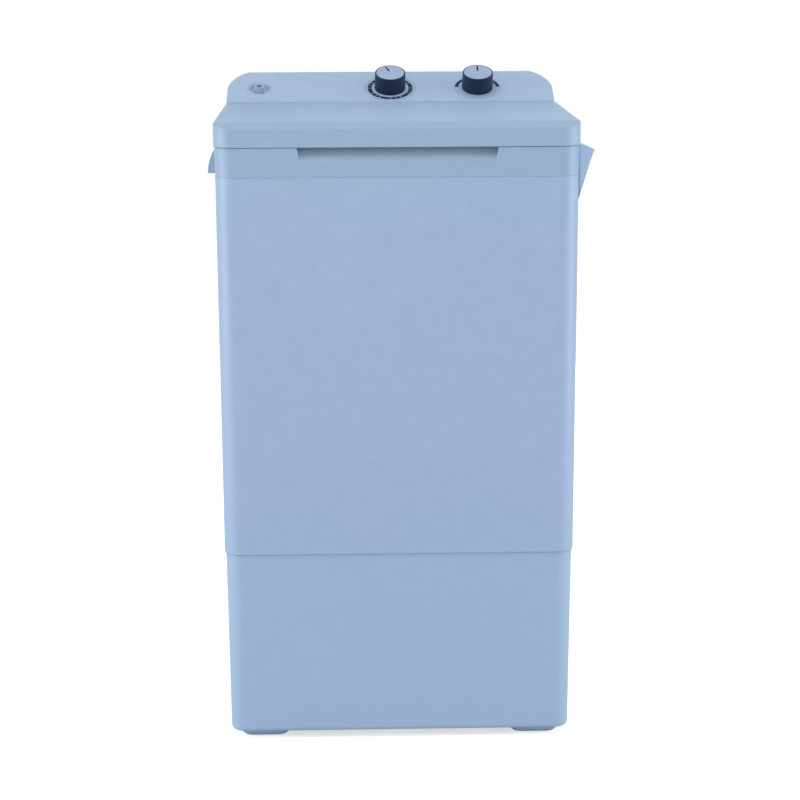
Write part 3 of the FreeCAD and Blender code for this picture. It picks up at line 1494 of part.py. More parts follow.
def add_washing_ribs(body):
    """Rows of ribs: four on the front and rear walls, three on each side wall."""
    front = "(place.tub_center - place.tub_half_depth + place.foot_lean)"
    rear = "(place.tub_center + place.tub_half_depth - place.foot_lean)"
    side = "(place.tub_half_width - place.foot_lean)"
    across = "-1.5 * size.rib_pitch - size.rib_width / 2"
    along = "size.rib_pitch - place.tub_center - size.rib_width / 2"
    for role, offset, foot, inward, axis, count in (
        ("YZ_Plane", across, front, 1, "X_Axis", 4),
        ("YZ_Plane", across, rear, -1, "X_Axis", 4),
        ("XZ_Plane", along, f"-{side}", 1, "Y_Axis", 3),
        ("XZ_Plane", along, side, -1, "Y_Axis", 3),
    ):
        rib = tub_rib(body, role, offset, foot, f"({foot} - {inward} * place.rib_lean)", str(inward))
        linear(body, rib, axis, f"{count - 1} * size.rib_pitch", str(count))


def add_filter_rails(body):
    """Two hooked rails and a shelf on the left wall, between which the lint filter slides."""
    wall = "-place.tub_half_width"
    hook = "place.filter_face + size.fit_gap"
    inside = "place.filter_face + size.fit_gap + size.rail_wall"
    half = "(size.filter_width / 2 + size.fit_gap)"
    rails = new_sketch(body, offset="size.filter_level")
    for side in ("-1", "1"):
        outer = f"place.tub_center + {side} * ({half} + size.rail_wall)"
        inner = f"place.tub_center + {side} * {half}"
        tip = f"place.tub_center + {side} * ({half} - size.rail_hook)"
        rail = ((wall, outer), (inside, outer), (inside, tip), (hook, tip), (hook, inner), (wall, inner))
        contour(rails, rail)
    pad(body, rails, "size.rail_height")
    shelf = rectangle(
        new_sketch(body, offset="size.filter_level"),
        wall,
        inside,
        f"place.tub_center - {half} - size.rail_wall",
        f"place.tub_center + {half} + size.rail_wall",
    )
    pad(body, shelf, "size.rail_wall", reverse=True)


def around_housing():
    """Centres of the bearing housing's screws, between its gussets."""
    places = []
    for index in range(round(number("size.gusset_count"))):
        turn = f"({index} + 1 / 2) * 360 / size.gusset_count"
        across, back = f"place.screw_ring * cos({turn})", f"place.screw_ring * sin({turn})"
        places.append((across, f"place.tub_center + {back}"))
    return places


def cut_tub_ports(body):
    """Holes for the shaft seal, the drain and the housing's screws; ports for overflow and spout."""
    floor_holes = new_sketch(body, offset="size.tub_floor")
    circle(floor_holes, "0", "place.tub_center", "place.seal_radius")
    circle(floor_holes, "size.selector_offset", "place.sump_setback", "size.sump_radius")
    pocket(body, floor_holes, "size.tub_bottom_wall")
    screw_holes = new_sketch(body, offset="place.tub_under")
    for x, y in around_housing():
        circle(screw_holes, x, y, "size.screw_radius")
    pocket(body, screw_holes, "size.screw_grip", reverse=True)
    wall_ports = new_sketch(body, "XZ_Plane")
    circle(wall_ports, "size.selector_offset", "size.overflow_level", "place.branch_bore")
    port = "(size.duct_size / 2 + size.fit_gap)"
    rectangle(
        wall_ports,
        f"-size.spout_offset - {port}",
        f"-size.spout_offset + {port}",
        f"size.spout_level - {port}",
        f"size.spout_level + {port}",
    )
    pocket(body, wall_ports, "place.half_depth")


def make_lint_filter():
    """The filter's frame and its fine net, slid down between the rails."""
    left = "(place.filter_face - size.filter_depth)"
    front = "(place.tub_center - size.filter_width / 2)"
    low = "size.filter_level"
    frame = box(
        "filter_block", left, front, low, "size.filter_depth", "size.filter_width", "size.filter_height"
    )
    rim = "size.filter_rim"
    opening = (f"{front} + {rim}", f"{low} + {rim}")
    window_size = (f"size.filter_width - 2 * {rim}", f"(size.filter_height - 3 * {rim}) / 2")
    windows = []
    nets = []
    for index in range(2):
        level = f"{opening[1]} + {index} * ({window_size[1]} + {rim})"
        windows.append(
            box(f"filter_window_{index}", left, opening[0], level, "size.filter_depth", *window_size)
        )
        nets.append(
            box(
                f"filter_net_{index}",
                f"{left} + (size.filter_depth - size.net_thickness) / 2",
                opening[0],
                level,
                "size.net_thickness",
                *window_size,
            )
        )
    part(cut("filter_frame_piece", frame, *windows), "lint_filter_frame")
    part(group("filter_net_group", *nets), "lint_filter_net")


def make_overflow_cover():
    """A slotted cover over the overflow port, its sleeve pushed into the wall."""
    body = new_body("overflow_cover")
    face = "-place.overflow_face + 2 * size.fit_gap"
    x, z = "size.selector_offset", "size.overflow_level"
    disc = circle(new_sketch(body, "XZ_Plane", face), x, z, "size.grille_radius")
    pad(body, disc, "size.grille_wall")
    sleeve = new_sketch(body, "XZ_Plane", face)
    circle(sleeve, x, z, "place.branch_bore - size.fit_gap")
    circle(sleeve, x, z, "place.branch_bore - size.fit_gap - size.grille_wall")
    pad(body, sleeve, "size.tub_wall + 2 * size.fit_gap", reverse=True)
    slots = new_sketch(body, "XZ_Plane", f"{face} + size.grille_wall")
    for index in (-1, 0, 1):
        level = f"{z} + {index} * 2 * size.grille_slot"
        rectangle(
            slots,
            f"{x} - size.branch_radius / 2",
            f"{x} + size.branch_radius / 2",
            f"{level} - size.grille_slot / 2",
            f"{level} + size.grille_slot / 2",
        )
    pocket(body, slots, "size.grille_wall")
    return part(body)


def make_sump_grate():
    """The slotted grate in the tub's drain hole."""
    x, y = "size.selector_offset", "place.sump_setback"
    disc = cylinder(
        "grate_disc", "size.sump_radius - size.fit_gap / 3", "size.tub_bottom_wall", x, y, "place.tub_under"
    )
    slots = []
    for index in range(-2, 3):
        slots.append(
            box(
                f"grate_slot_{index + 2}",
                f"{x} - size.sump_radius / 2",
                f"{y} + ({index} - 0.3) * 2 * size.grille_slot",
                "place.tub_under",
                "size.sump_radius",
                "size.grille_slot",
                "size.tub_bottom_wall",
            )
        )
    return part(cut("grate_piece", disc, *slots), "sump_grate")


# ---------------------------------------------------------------- pulsator, shaft and belt drive


def at_tub_axis(piece):
    """Move a piece drawn round its own Z axis onto the wash shaft's axis."""
    move(piece, y="place.tub_center")
    return piece


def make_pulsator():
    """The washing disc: dished and domed, with curved blades that slope down to its rim."""
    wall = "size.pulsator_wall"
    low = "place.disc_level"
    high = f"{low} + {wall}"
    rim = "place.pulsator_radius"
    dome = "size.dome_radius"
    top = "place.dome_top"
    disc = new_body("pulsator_disc")
    side = new_sketch(disc, "XZ_Plane")
    contour(
        side,
        (
            ("size.shaft_radius", low),
            ("place.bush_radius", low),
            ("place.bush_radius", f"{top} - 2.5 * {wall}"),
            (f"{dome} / 2", f"{top} - 2.5 * {wall}"),
            (f"{dome} - {wall}", low),
            (f"{rim} - 2 * {wall}", low),
            (rim, f"{low} + size.pulsator_skirt"),
            (f"{rim} - {wall}", f"{low} + size.pulsator_skirt"),
            (f"{rim} - 2.5 * {wall}", high),
            (f"{dome} + {wall}", high),
            (f"{dome} / 2", top),
            ("0", top),
            ("0", f"{top} - {wall}"),
            ("size.shaft_radius", f"{top} - {wall}"),
        ),
        bends=((9, "size.dome_curve", -1),),
    )
    revolve(disc, side)
    pocket(disc, circle(new_sketch(disc, offset=top), "0", "0", "size.hub_screw"), wall)
    drip = new_sketch(disc, offset=high)
    circle(drip, f"{rim} - size.drip_margin", "-size.drip_offset", "size.drip_radius")
    polar(disc, pocket(disc, drip, wall), "size.blade_count", grows=False)
    blades = new_body("pulsator_blades")
    lens = new_sketch(blades, offset=f"{low} + {wall} / 2")
    contour(
        lens,
        (("place.blade_root", "0"), ("place.blade_tip", "0")),
        bends=((0, "place.blade_back", -1), (1, "place.blade_front", 1)),
    )
    polar(blades, pad(blades, lens, "size.blade_height"), "size.blade_count")
    foot, height = f"place.blade_tip + {wall}", f"size.blade_height + {wall}"
    slope = cone("blade_slope", foot, f"{dome} / 2", height, z=low)
    ridges = common("pulsator_ridges", blades, slope)
    return part(at_tub_axis(fuse("pulsator_piece", disc, ridges)), "pulsator")


def make_pulsator_screw():
    """The domed screw that holds the pulsator on its shaft."""
    body = new_body("pulsator_screw")
    seat = "place.dome_top"
    side = new_sketch(body, "XZ_Plane")
    contour(
        side,
        (
            ("0", f"{seat} - size.pulsator_wall - size.hub_thread"),
            ("size.hub_screw", f"{seat} - size.pulsator_wall - size.hub_thread"),
            ("size.hub_screw", seat),
            ("size.dome_radius / 4", seat),
            ("size.dome_radius / 4", f"{seat} + size.hub_screw / 2"),
            ("0", f"{seat} + 1.5 * size.hub_screw"),
        ),
        bends=((4, "place.cap_round", 1),),
    )
    revolve(body, side)
    return part(at_tub_axis(body))


def make_wash_shaft():
    """The shaft from the pulsator's hub down through both bushes to the driven pulley."""
    body = new_body("wash_shaft")
    rod = circle(new_sketch(body, offset="size.shaft_bottom"), "0", "0", "size.shaft_radius")
    pad(body, rod, "place.shaft_top - size.shaft_bottom")
    thread = circle(new_sketch(body, offset="place.shaft_top"), "0", "0", "size.hub_screw")
    pocket(body, thread, "size.hub_thread")
    low = number("size.shaft_bottom")
    round_edges(body, "size.shaft_radius / 7", lambda edge: at_level(edge, low), "Chamfer")
    return part(at_tub_axis(body))


def make_bearing_housing():
    """The flanged housing under the tub floor, with gussets and screw holes."""
    body = new_body("bearing_housing")
    seat = "place.tub_under - size.housing_plate"
    side = new_sketch(body, "XZ_Plane")
    contour(
        side,
        (
            ("place.bush_radius", "size.housing_bottom"),
            ("place.tube_radius", "size.housing_bottom"),
            ("place.tube_radius", seat),
            ("size.housing_flange", seat),
            ("size.housing_flange", "place.tub_under"),
            ("place.bush_radius", "place.tub_under"),
        ),
    )
    revolve(body, side)
    gusset = new_sketch(body, "XZ_Plane", "-size.housing_plate / 2")
    root = "place.tube_radius - size.housing_wall / 2"
    low = "size.housing_bottom + size.bush_length"
    contour(
        gusset,
        (
            (root, low),
            ("place.tube_radius", low),
            ("size.housing_flange - size.housing_wall", f"{seat} + size.housing_plate / 2"),
            (root, f"{seat} + size.housing_plate / 2"),
        ),
    )
    polar(body, pad(body, gusset, "size.housing_plate"), "size.gusset_count")
    hole = new_sketch(body, offset="place.tub_under")
    turn = "180 / size.gusset_count"
    circle(hole, f"place.screw_ring * cos({turn})", f"place.screw_ring * sin({turn})", "size.screw_radius")
    polar(body, pocket(body, hole, "size.housing_plate"), "size.gusset_count", grows=False)
    return part(at_tub_axis(body))


def make_ring(name, inner, outer, bottom, height):
    """A plain ring round the wash shaft."""
    body = new_body(name)
    outline = new_sketch(body, offset=bottom)
    circle(outline, "0", "0", outer)
    circle(outline, "0", "0", inner)
    pad(body, outline, height)
    return part(at_tub_axis(body))


def make_bushes_and_seal():
    bore = "size.shaft_radius + size.running_gap"
    length = "size.bush_length"
    make_ring("upper_bush", bore, "place.bush_radius", f"place.tub_under - {length}", length)
    make_ring("lower_bush", bore, "place.bush_radius", "size.housing_bottom", length)
    height = "size.tub_bottom_wall + 2 * size.fit_gap"
    make_ring("shaft_seal", bore, "place.seal_radius", "place.tub_under", height)


def make_housing_screws():
    """The screws that hold the bearing housing under the tub floor."""
    screws = []
    seat = "place.tub_under - size.housing_plate"
    for index, (x, y) in enumerate(around_housing()):
        head = cylinder(
            f"housing_screw_head_{index}",
            "size.screw_head",
            "size.screw_radius",
            x,
            y,
            f"{seat} - size.screw_radius",
        )
        shank = cylinder(
            f"housing_screw_shank_{index}",
            "size.screw_radius",
            "size.housing_plate + size.screw_grip",
            x,
            y,
            seat,
        )
        screws.append(fuse(f"housing_screw_{index}", head, shank))
    return part(group("housing_screws_group", *screws), "housing_screws")


def groove_side(radius):
    """The stretch of a pulley's profile that goes up round its rim and belt groove."""
    middle = "size.pulley_level"
    half = "(size.belt_width / 2 + size.fit_gap)"
    mouth = f"({half} + size.belt_sink * tan(size.groove_flare))"
    floor = f"{radius} - size.belt_sink - size.fit_gap"
    return (
        (radius, "place.pulley_bottom"),
        (radius, f"{middle} - {mouth}"),
        (floor, f"{middle} - {half}"),
        (floor, f"{middle} + {half}"),
        (radius, f"{middle} + {mouth}"),
        (radius, "place.pulley_top"),
    )


def make_drive_pulley():
    """The large pulley: grooved rim, thin web with round windows, and a hub on the wash shaft."""
    body = new_body("drive_pulley")
    bore = "size.shaft_radius"
    web_low = "size.pulley_level - size.web_wall / 2"
    web_high = "size.pulley_level + size.web_wall / 2"
    side = new_sketch(body, "XZ_Plane")
    contour(
        side,
        (
            (bore, "place.pulley_bottom - size.web_wall"),
            ("place.hub_radius", "place.pulley_bottom - size.web_wall"),
            ("place.hub_radius", web_low),
            ("place.rim_inside", web_low),
            ("place.rim_inside", "place.pulley_bottom"),
            *groove_side("place.pulley_radius"),
            ("place.rim_inside", "place.pulley_top"),
            ("place.rim_inside", web_high),
            ("place.hub_radius", web_high),
            ("place.hub_radius", "size.housing_bottom - size.fit_gap"),
            (bore, "size.housing_bottom - size.fit_gap"),
        ),
    )
    revolve(body, side)
    window = new_sketch(body, offset=web_high)
    circle(window, "(place.hub_radius + place.rim_inside) / 2", "0", "size.window_radius")
    polar(body, pocket(body, window, "size.web_wall"), "size.window_count", grows=False)
    return part(at_tub_axis(body))


def make_motor_pulley():
    """The small grooved pulley on the motor's shaft."""
    body = new_body("motor_pulley")
    bore = "size.motor_shaft_radius"
    side = new_sketch(body, "XZ_Plane")
    contour(
        side,
        (
            (bore, "place.pulley_bottom - size.web_wall"),
            (f"{bore} + size.bush_wall", "place.pulley_bottom - size.web_wall"),
            (f"{bore} + size.bush_wall", "place.pulley_bottom"),
            *groove_side("size.motor_pulley_radius"),
            (bore, "place.pulley_top"),
        ),
    )
    revolve(body, side)
    return part(at_motor_axis(body))


def belt_loop(name, growth):
    """The filled outline of the belt round both pulleys, grown outwards, as a prism."""
    big = f"(place.belt_big + {growth})"
    small = f"(place.belt_small + {growth})"
    bottom = "size.pulley_level - size.belt_width / 2"
    body = new_body(name + "_middle")
    straights = new_sketch(body, offset=bottom)
    contour(
        straights,
        (
            (f"-{big} * place.belt_lean", f"-{big} * place.belt_rise"),
            (f"-{big} * place.belt_lean", f"{big} * place.belt_rise"),
            (f"-place.motor_offset - {small} * place.belt_lean", f"{small} * place.belt_rise"),
            (f"-place.motor_offset - {small} * place.belt_lean", f"-{small} * place.belt_rise"),
        ),
    )
    pad(body, straights, "size.belt_width")
    return fuse(
        name,
        body,
        cylinder(name + "_big", big, "size.belt_width", z=bottom),
        cylinder(name + "_small", small, "size.belt_width", x="-place.motor_offset", z=bottom),
    )


def make_drive_belt():
    outer = belt_loop("belt_outer", "size.belt_depth")
    inner = belt_loop("belt_inner", "0")
    return part(at_tub_axis(cut("belt_piece", outer, inner)), "drive_belt")


# ---------------------------------------------------------------- motor


def at_motor_axis(piece):
    """Move a piece drawn round its own Z axis onto the motor's axis."""
    move(piece, "-place.motor_offset", "place.tub_center")
    return piece


def motor_corners():
    """Centres of the four motor mounts."""
    return [
        (f"{x} * size.boss_spread_x - place.motor_offset", f"place.tub_center + {y} * size.boss_spread_y")
        for x in ("-1", "1")
        for y in ("-1", "1")
    ]


def make_motor():
    """The motor: ribbed stator housing between two end bells, bored for its shaft."""
    body = new_body("motor")
    radius = "size.motor_radius"
    bore = "size.motor_shaft_radius + size.running_gap"
    side = new_sketch(body, "XZ_Plane")
    contour(
        side,
        (
            ("0", "place.motor_bottom"),
            (f"{radius} - 1.5 * size.bell_height", "place.motor_bottom"),
            (f"{radius} - size.bell_height / 2", "place.stator_bottom"),
            (radius, "place.stator_bottom"),
            (radius, "place.stator_top"),
            (f"{radius} - size.bell_height / 2", "place.stator_top"),
            (f"{radius} - 1.5 * size.bell_height", "place.motor_top"),
            (bore, "place.motor_top"),
            (bore, "place.stator_bottom"),
            ("0", "place.stator_bottom"),
        ),
    )
    revolve(body, side)
    slot = new_sketch(body, offset="place.stator_top")
    circle(slot, f"{radius} + size.slot_radius / 2", "0", "size.slot_radius")
    polar(body, pocket(body, slot, "size.motor_height"), "size.slot_count", grows=False)
    return part(at_motor_axis(body))


def make_motor_shaft():
    body = new_body("motor_shaft")
    start = "place.stator_bottom + size.fit_gap"
    rod = circle(new_sketch(body, offset=start), "0", "0", "size.motor_shaft_radius")
    pad(body, rod, f"place.pulley_top + size.web_wall - ({start})")
    high = number("place.pulley_top + size.web_wall")
    round_edges(body, "size.motor_shaft_radius / 6", lambda edge: at_level(edge, high), "Chamfer")
    return part(at_motor_axis(body))


def make_motor_plate():
    """The steel plate under the motor, with down-turned long edges and four holes."""
    body = new_body("motor_plate")
    half_x = "(size.boss_spread_x + size.plate_margin)"
    half_y = "(size.boss_spread_y + size.plate_margin)"
    plate = new_sketch(body, offset="place.plate_bottom")
    rectangle(plate, f"-{half_x}", half_x, f"-{half_y}", half_y)
    pad(body, plate, "size.plate_wall")
    round_edges(body, "size.plate_margin / 2", is_upright)
    lips = new_sketch(body, offset="place.plate_bottom")
    run = f"({half_x} - size.plate_margin)"
    rectangle(lips, f"-{run}", run, f"-{half_y}", f"size.plate_wall - {half_y}")
    rectangle(lips, f"-{run}", run, f"{half_y} - size.plate_wall", half_y)
    pad(body, lips, "2 * size.plate_wall", reverse=True)
    holes = new_sketch(body, offset="place.motor_bottom")
    for x in ("-1", "1"):
        for y in ("-1", "1"):
            circle(holes, f"{x} * size.boss_spread_x", f"{y} * size.boss_spread_y", "size.mount_screw")
    pocket(body, holes, "size.plate_wall")
    return part(at_motor_axis(body))


def make_motor_mounts():
    """Four rubber rings between the base's bosses and the motor plate."""
    rings = []
    height = "size.bush_height"
    for index, (x, y) in enumerate(motor_corners()):
        solid = cylinder(f"mount_{index}", "size.boss_radius", height, x, y, "place.bush_bottom")
        hole = cylinder(f"mount_hole_{index}", "size.mount_screw", height, x, y, "place.bush_bottom")
        rings.append(cut(f"mount_ring_{index}", solid, hole))
    return part(group("mounts_group", *rings), "motor_mounts")


def make_motor_screws():
    """Four screws through the plate and the rubber mounts into the base's bosses."""
    screws = []
    radius = "size.mount_screw"
    start = "place.bush_bottom - size.boss_height / 2"
    length = f"place.motor_bottom - ({start})"
    for index, (x, y) in enumerate(motor_corners()):
        shank = cylinder(f"motor_screw_shank_{index}", radius, length, x, y, start)
        head = cylinder(f"motor_screw_head_{index}", f"2 * {radius}", radius, x, y, "place.motor_bottom")
        screws.append(fuse(f"motor_screw_{index}", shank, head))
    return part(group("motor_screws_group", *screws), "motor_screws")


def make_capacitor():
    """The motor's run capacitor, standing on the base floor with its two terminals."""
    x, y = "size.capacitor_offset", "place.capacitor_front"
    top = "size.floor_level + size.capacitor_height"
    can = cylinder(
        "capacitor_can", "size.capacitor_radius", "size.capacitor_height", x, y, "size.floor_level"
    )
    pieces = [can]
    for index, side in enumerate(("-1", "1")):
        pieces.append(
            box(
                f"capacitor_terminal_{index}",
                f"{x} + {side} * size.capacitor_radius / 2 - size.screw_radius",
                f"{y} - size.cap_wall / 2",
                top,
                "2 * size.screw_radius",
                "size.cap_wall",
                "2 * size.screw_head",
            )
        )
    return part(fuse("capacitor_piece", *pieces), "capacitor")


def make_capacitor_clamp():
    """A strap round the capacitor with two feet on the base floor."""
    x, y = "size.capacitor_offset", "place.capacitor_front"
    reach = "(size.capacitor_radius + size.cover_wall)"
    span = f"({reach} + 4 * size.screw_head)"
    strap = cylinder("clamp_strap", reach, "size.clamp_height", x, y, "size.floor_level")
    feet = box(
        "clamp_feet",
        f"{x} - {span}",
        f"{y} - 2 * size.screw_head",
        "size.floor_level",
        f"2 * {span}",
        "4 * size.screw_head",
        "size.cover_wall",
    )
    bore = "size.capacitor_radius + size.fit_gap / 3"
    hole = cylinder("clamp_bore", bore, "size.clamp_height", x, y, "size.floor_level")
    return part(cut("clamp_piece", fuse("clamp_block", strap, feet), hole), "capacitor_clamp")


# ---------------------------------------------------------------- drain


def make_drain_valve_body():
    """The valve's chamber with its seat, and the pipe and cup that join it to the tub's drain."""
    x, y, sump = "size.selector_offset", "place.drain_setback", "place.sump_setback"
    wall = "size.valve_wall"
    inside = f"size.valve_radius - {wall}"
    low, seat, high = "size.valve_bottom", "place.seat_level", "size.valve_top"
    cup_low = "(size.link_level - size.pipe_radius)"
    cup_height = f"(place.tub_under - {cup_low})"
    cup_radius = f"size.sump_radius + {wall}"
    seat_radius = f"size.plug_radius - {wall}"
    outlet_radius = "size.pipe_radius + size.fit_gap / 3"
    link_level = "size.link_level"
    link_run = f"({y} - {sump} - size.valve_radius / 2)"
    solid = fuse(
        "valve_solid",
        cylinder("valve_chamber", "size.valve_radius", f"{high} - {low}", x, y, low),
        cylinder("sump_cup", cup_radius, f"{cup_height} + {wall}", x, sump, f"{cup_low} - {wall}"),
        cylinder("valve_link", "size.pipe_radius", link_run, x, sump, link_level, along="y"),
    )
    hollows = (
        cylinder("valve_upper_hollow", inside, f"{high} - {seat} - {wall}", x, y, seat),
        cylinder("valve_lower_hollow", inside, f"{seat} - {low} - 2 * {wall}", x, y, f"{low} + {wall}"),
        cylinder("valve_seat_hole", seat_radius, f"3 * {wall}", x, y, f"{seat} - 2 * {wall}"),
        cylinder("valve_outlet_hole", outlet_radius, f"2 * {wall}", x, y, f"{low} - {wall}"),
        cylinder("valve_top_hole", "place.pipe_bore", f"2 * {wall}", x, y, f"{high} - {wall}"),
        cylinder("sump_hollow", "size.sump_radius", cup_height, x, sump, cup_low),
        cylinder("valve_link_bore", "place.pipe_bore", f"{y} - {sump}", x, sump, link_level, along="y"),
    )
    return part(cut("valve_piece", solid, *hollows), "drain_valve_body")


def make_drain_valve_plug():
    """The rubber plug that rests on the valve's seat."""
    body = new_body("drain_valve_plug")
    side = new_sketch(body, "XZ_Plane")
    contour(
        side,
        (
            ("0", "place.plug_bottom"),
            ("size.plug_radius", "place.plug_bottom"),
            ("size.plug_radius", "place.plug_bottom + size.plug_height / 2"),
            ("size.plug_radius / 2", "place.plug_top"),
            ("0", "place.plug_top"),
        ),
    )
    revolve(body, side)
    move(body, "size.selector_offset", "place.drain_setback")
    return part(body)


def make_pull_rod():
    """The rod from the plug up through the overflow pipe and the deck, with a flat head on top."""
    x, y = "size.selector_offset", "place.drain_setback"
    rod = cylinder("rod_shank", "size.rod_radius", "size.rod_top - place.plug_top", x, y, "place.plug_top")
    thick, radius = "size.valve_wall", "2 * size.rod_radius - 2 * size.fit_gap"
    head = cylinder("rod_head", radius, thick, x, y, f"size.rod_top - {thick}")
    return part(fuse("rod_piece", rod, head), "drain_pull_rod")


def make_overflow_pipe():
    """The pipe that stands on the valve's chamber and branches to the tub's wall near its top."""
    x, y, level = "size.selector_offset", "place.drain_setback", "size.overflow_level"
    wall = "size.valve_wall"
    height = f"({level} + size.pipe_radius + {wall} - size.valve_top)"
    back = "place.overflow_back"
    branch = f"({y} - {back})"
    rod_hole = f"size.pipe_radius + 2 * {wall}"
    solid = fuse(
        "overflow_solid",
        cylinder("overflow_stand", "size.pipe_radius", height, x, y, "size.valve_top"),
        cylinder("overflow_branch", "size.branch_radius", branch, x, back, level, along="y"),
    )
    hollows = (
        cylinder("overflow_bore", "place.pipe_bore", f"{height} - {wall}", x, y, "size.valve_top"),
        cylinder("overflow_branch_bore", "place.branch_bore", branch, x, back, level, along="y"),
        cylinder("overflow_rod_hole", "size.rod_radius + size.fit_gap", rod_hole, x, y, level),
    )
    return part(cut("overflow_piece", solid, *hollows), "overflow_pipe")


def make_drain_pipe():
    """The pipe from the valve down, round a bend and out through the base's right side."""
    body = new_body("drain_pipe")
    bend = "size.drain_bend"
    x, low = "size.selector_offset", "size.outlet_level"
    start = "size.valve_bottom + size.valve_wall"
    stops = ((x, start), (x, f"{low} + {bend}"), (f"{x} + {bend}", low), ("place.outlet_end", low))
    corners = [Vector(number(across), number(up), 0) for across, up in stops]
    path = new_sketch(body, "XZ_Plane", "-place.drain_setback")
    fall = path.addGeometry(Part.LineSegment(corners[0], corners[1]))
    turn = path.addGeometry(arc_between(corners[1], corners[2], number(bend), 1))
    run = path.addGeometry(Part.LineSegment(corners[2], corners[3]))
    path.addConstraint(Sketcher.Constraint("Coincident", fall, 2, turn, 1))
    path.addConstraint(Sketcher.Constraint("Coincident", turn, 2, run, 1))
    ends = ((fall, 1), (fall, 2), (run, 1), (run, 2))
    for (edge, end), (across, up) in zip(ends, stops):
        tie(path, "DistanceX", -1, 1, edge, end, value=across)
        tie(path, "DistanceY", -1, 1, edge, end, value=up)
    tie(path, "Radius", turn, value=bend)
    section = new_sketch(body, offset=start)
    circle(section, x, "place.drain_setback", "size.pipe_radius")
    circle(section, x, "place.drain_setback", "place.pipe_bore")
    sweep = body.newObject("PartDesign::AdditivePipe", "drain_sweep")
    sweep.Profile = section
    sweep.Spine = (path, ["Edge1", "Edge2", "Edge3"])
    settle(body, sweep, 0.0, grows=True)
    step = new_sketch(body, "YZ_Plane", "place.outlet_end - size.spigot_length")
    circle(step, "place.drain_setback", low, "size.spigot_radius")
    circle(step, "place.drain_setback", low, "size.pipe_radius + size.valve_wall")
    pocket(body, step, "2 * size.spigot_length", reverse=True)
    return part(body)


# ---------------------------------------------------------------- rear


def lean_on_base(body):
    """Turn a piece drawn upright so that it lies on the base's drafted rear wall."""
    body.Placement = Placement(Vector(), Rotation(Vector(-1, 0, 0), number("place.base_draft")))
    move(body, "0", "place.half_depth - place.base_bottom_inset", "size.foot_height")
    return body


def cover_screw_places():
    """Centres of the service cover's screws, measured up the base's wall from its lower edge."""
    edge = "size.cover_overlap / 2"
    low, high = f"place.cover_low + {edge}", f"place.cover_high - {edge}"
    left, right = f"{edge} - size.cover_left", f"size.cover_right - {edge}"
    return ((left, low), (right, low), (right, high), (left, high))


def make_service_cover():
    """The louvred rear cover over the belt drive."""
    body = new_body("service_cover")
    plate = new_sketch(body, "XZ_Plane")
    rectangle(plate, "-size.cover_left", "size.cover_right", "place.cover_low", "place.cover_high")
    pad(body, plate, "size.cover_wall", reverse=True)
    thickness = number("size.cover_wall")
    round_edges(body, "size.cover_overlap / 2", lambda edge: abs(edge.Length - thickness) < NEAR)
    margin = "3 * size.cover_overlap"
    louvre = rectangle(
        new_sketch(body, "XZ_Plane"),
        f"{margin} - size.cover_left",
        f"size.cover_right - {margin}",
        f"place.cover_low + {margin}",
        f"place.cover_low + {margin} + size.louvre_width",
    )
    slot = pocket(body, louvre, "size.cover_wall")
    run = "(size.louvre_count - 1) * size.louvre_pitch"
    linear(body, slot, "Z_Axis", run, "size.louvre_count", grows=False)
    holes = new_sketch(body, "XZ_Plane")
    for x, z in cover_screw_places():
        circle(holes, x, z, "size.screw_radius + size.fit_gap / 3")
    pocket(body, holes, "size.cover_wall")
    return part(lean_on_base(body))


def make_cover_screws():
    """The service cover's four screws."""
    screws = []
    radius, length = "size.screw_radius", "size.cover_wall + size.base_wall"
    for index, (x, z) in enumerate(cover_screw_places()):
        shank = cylinder(
            f"cover_screw_shank_{index}", radius, length, x, "-size.base_wall", z, along="y"
        )
        head = cylinder(
            f"cover_screw_head_{index}", "size.screw_head", radius, x, "size.cover_wall", z, along="y"
        )
        screws.append(fuse(f"cover_screw_{index}", shank, head))
    return part(lean_on_base(group("cover_screws_group", *screws)), "service_cover_screws")


def make_cord_gland():
    """The bushing in the cabinet's rear wall for the power cord."""
    body = new_body("cord_gland")
    radius = "size.gland_radius"
    side = new_sketch(body, "XZ_Plane")
    contour(
        side,
        (
            ("size.gland_bore", "-2 * size.wall"),
            (radius, "-2 * size.wall"),
            (radius, "0"),
            (f"{radius} + size.wall", "0"),
            (f"{radius} + size.wall", "size.wall / 2"),
            (f"{radius} - size.wall / 2", "size.wall"),
            ("size.gland_bore", "size.wall"),
        ),
    )
    revolve(body, side)
    body.Placement = Placement(Vector(), Rotation(Vector(-1, 0, 0), 90 + number("place.cabinet_draft")))
    rise = "(size.gland_level - size.split_level)"
    face = "place.half_depth - place.cabinet_bottom_inset"
    move(
        body,
        "-size.gland_offset",
        f"{face} + size.cabinet_lean * {rise} / place.cabinet_height",
        "size.gland_level",
    )
    return part(body)


# ---------------------------------------------------------------- assembly


def make_panel_controls():
    """The console's knobs, caps, spindles and switches."""
    timer, selector = "0", "size.selector_offset"
    make_knob("timer_knob", timer)
    make_knob_cap("timer_knob_cap", timer, "size.timer_pointer_angle")
    make_spindle("timer_spindle", timer, "size.timer_height - size.fit_gap")
    make_wash_timer()
    make_knob("selector_knob", selector)
    make_knob_cap("selector_knob_cap", selector, "0")
    make_spindle("selector_spindle", selector, "2 * size.wall + size.selector_height + size.fit_gap")
    make_selector_switch()
    make_selector_lever()


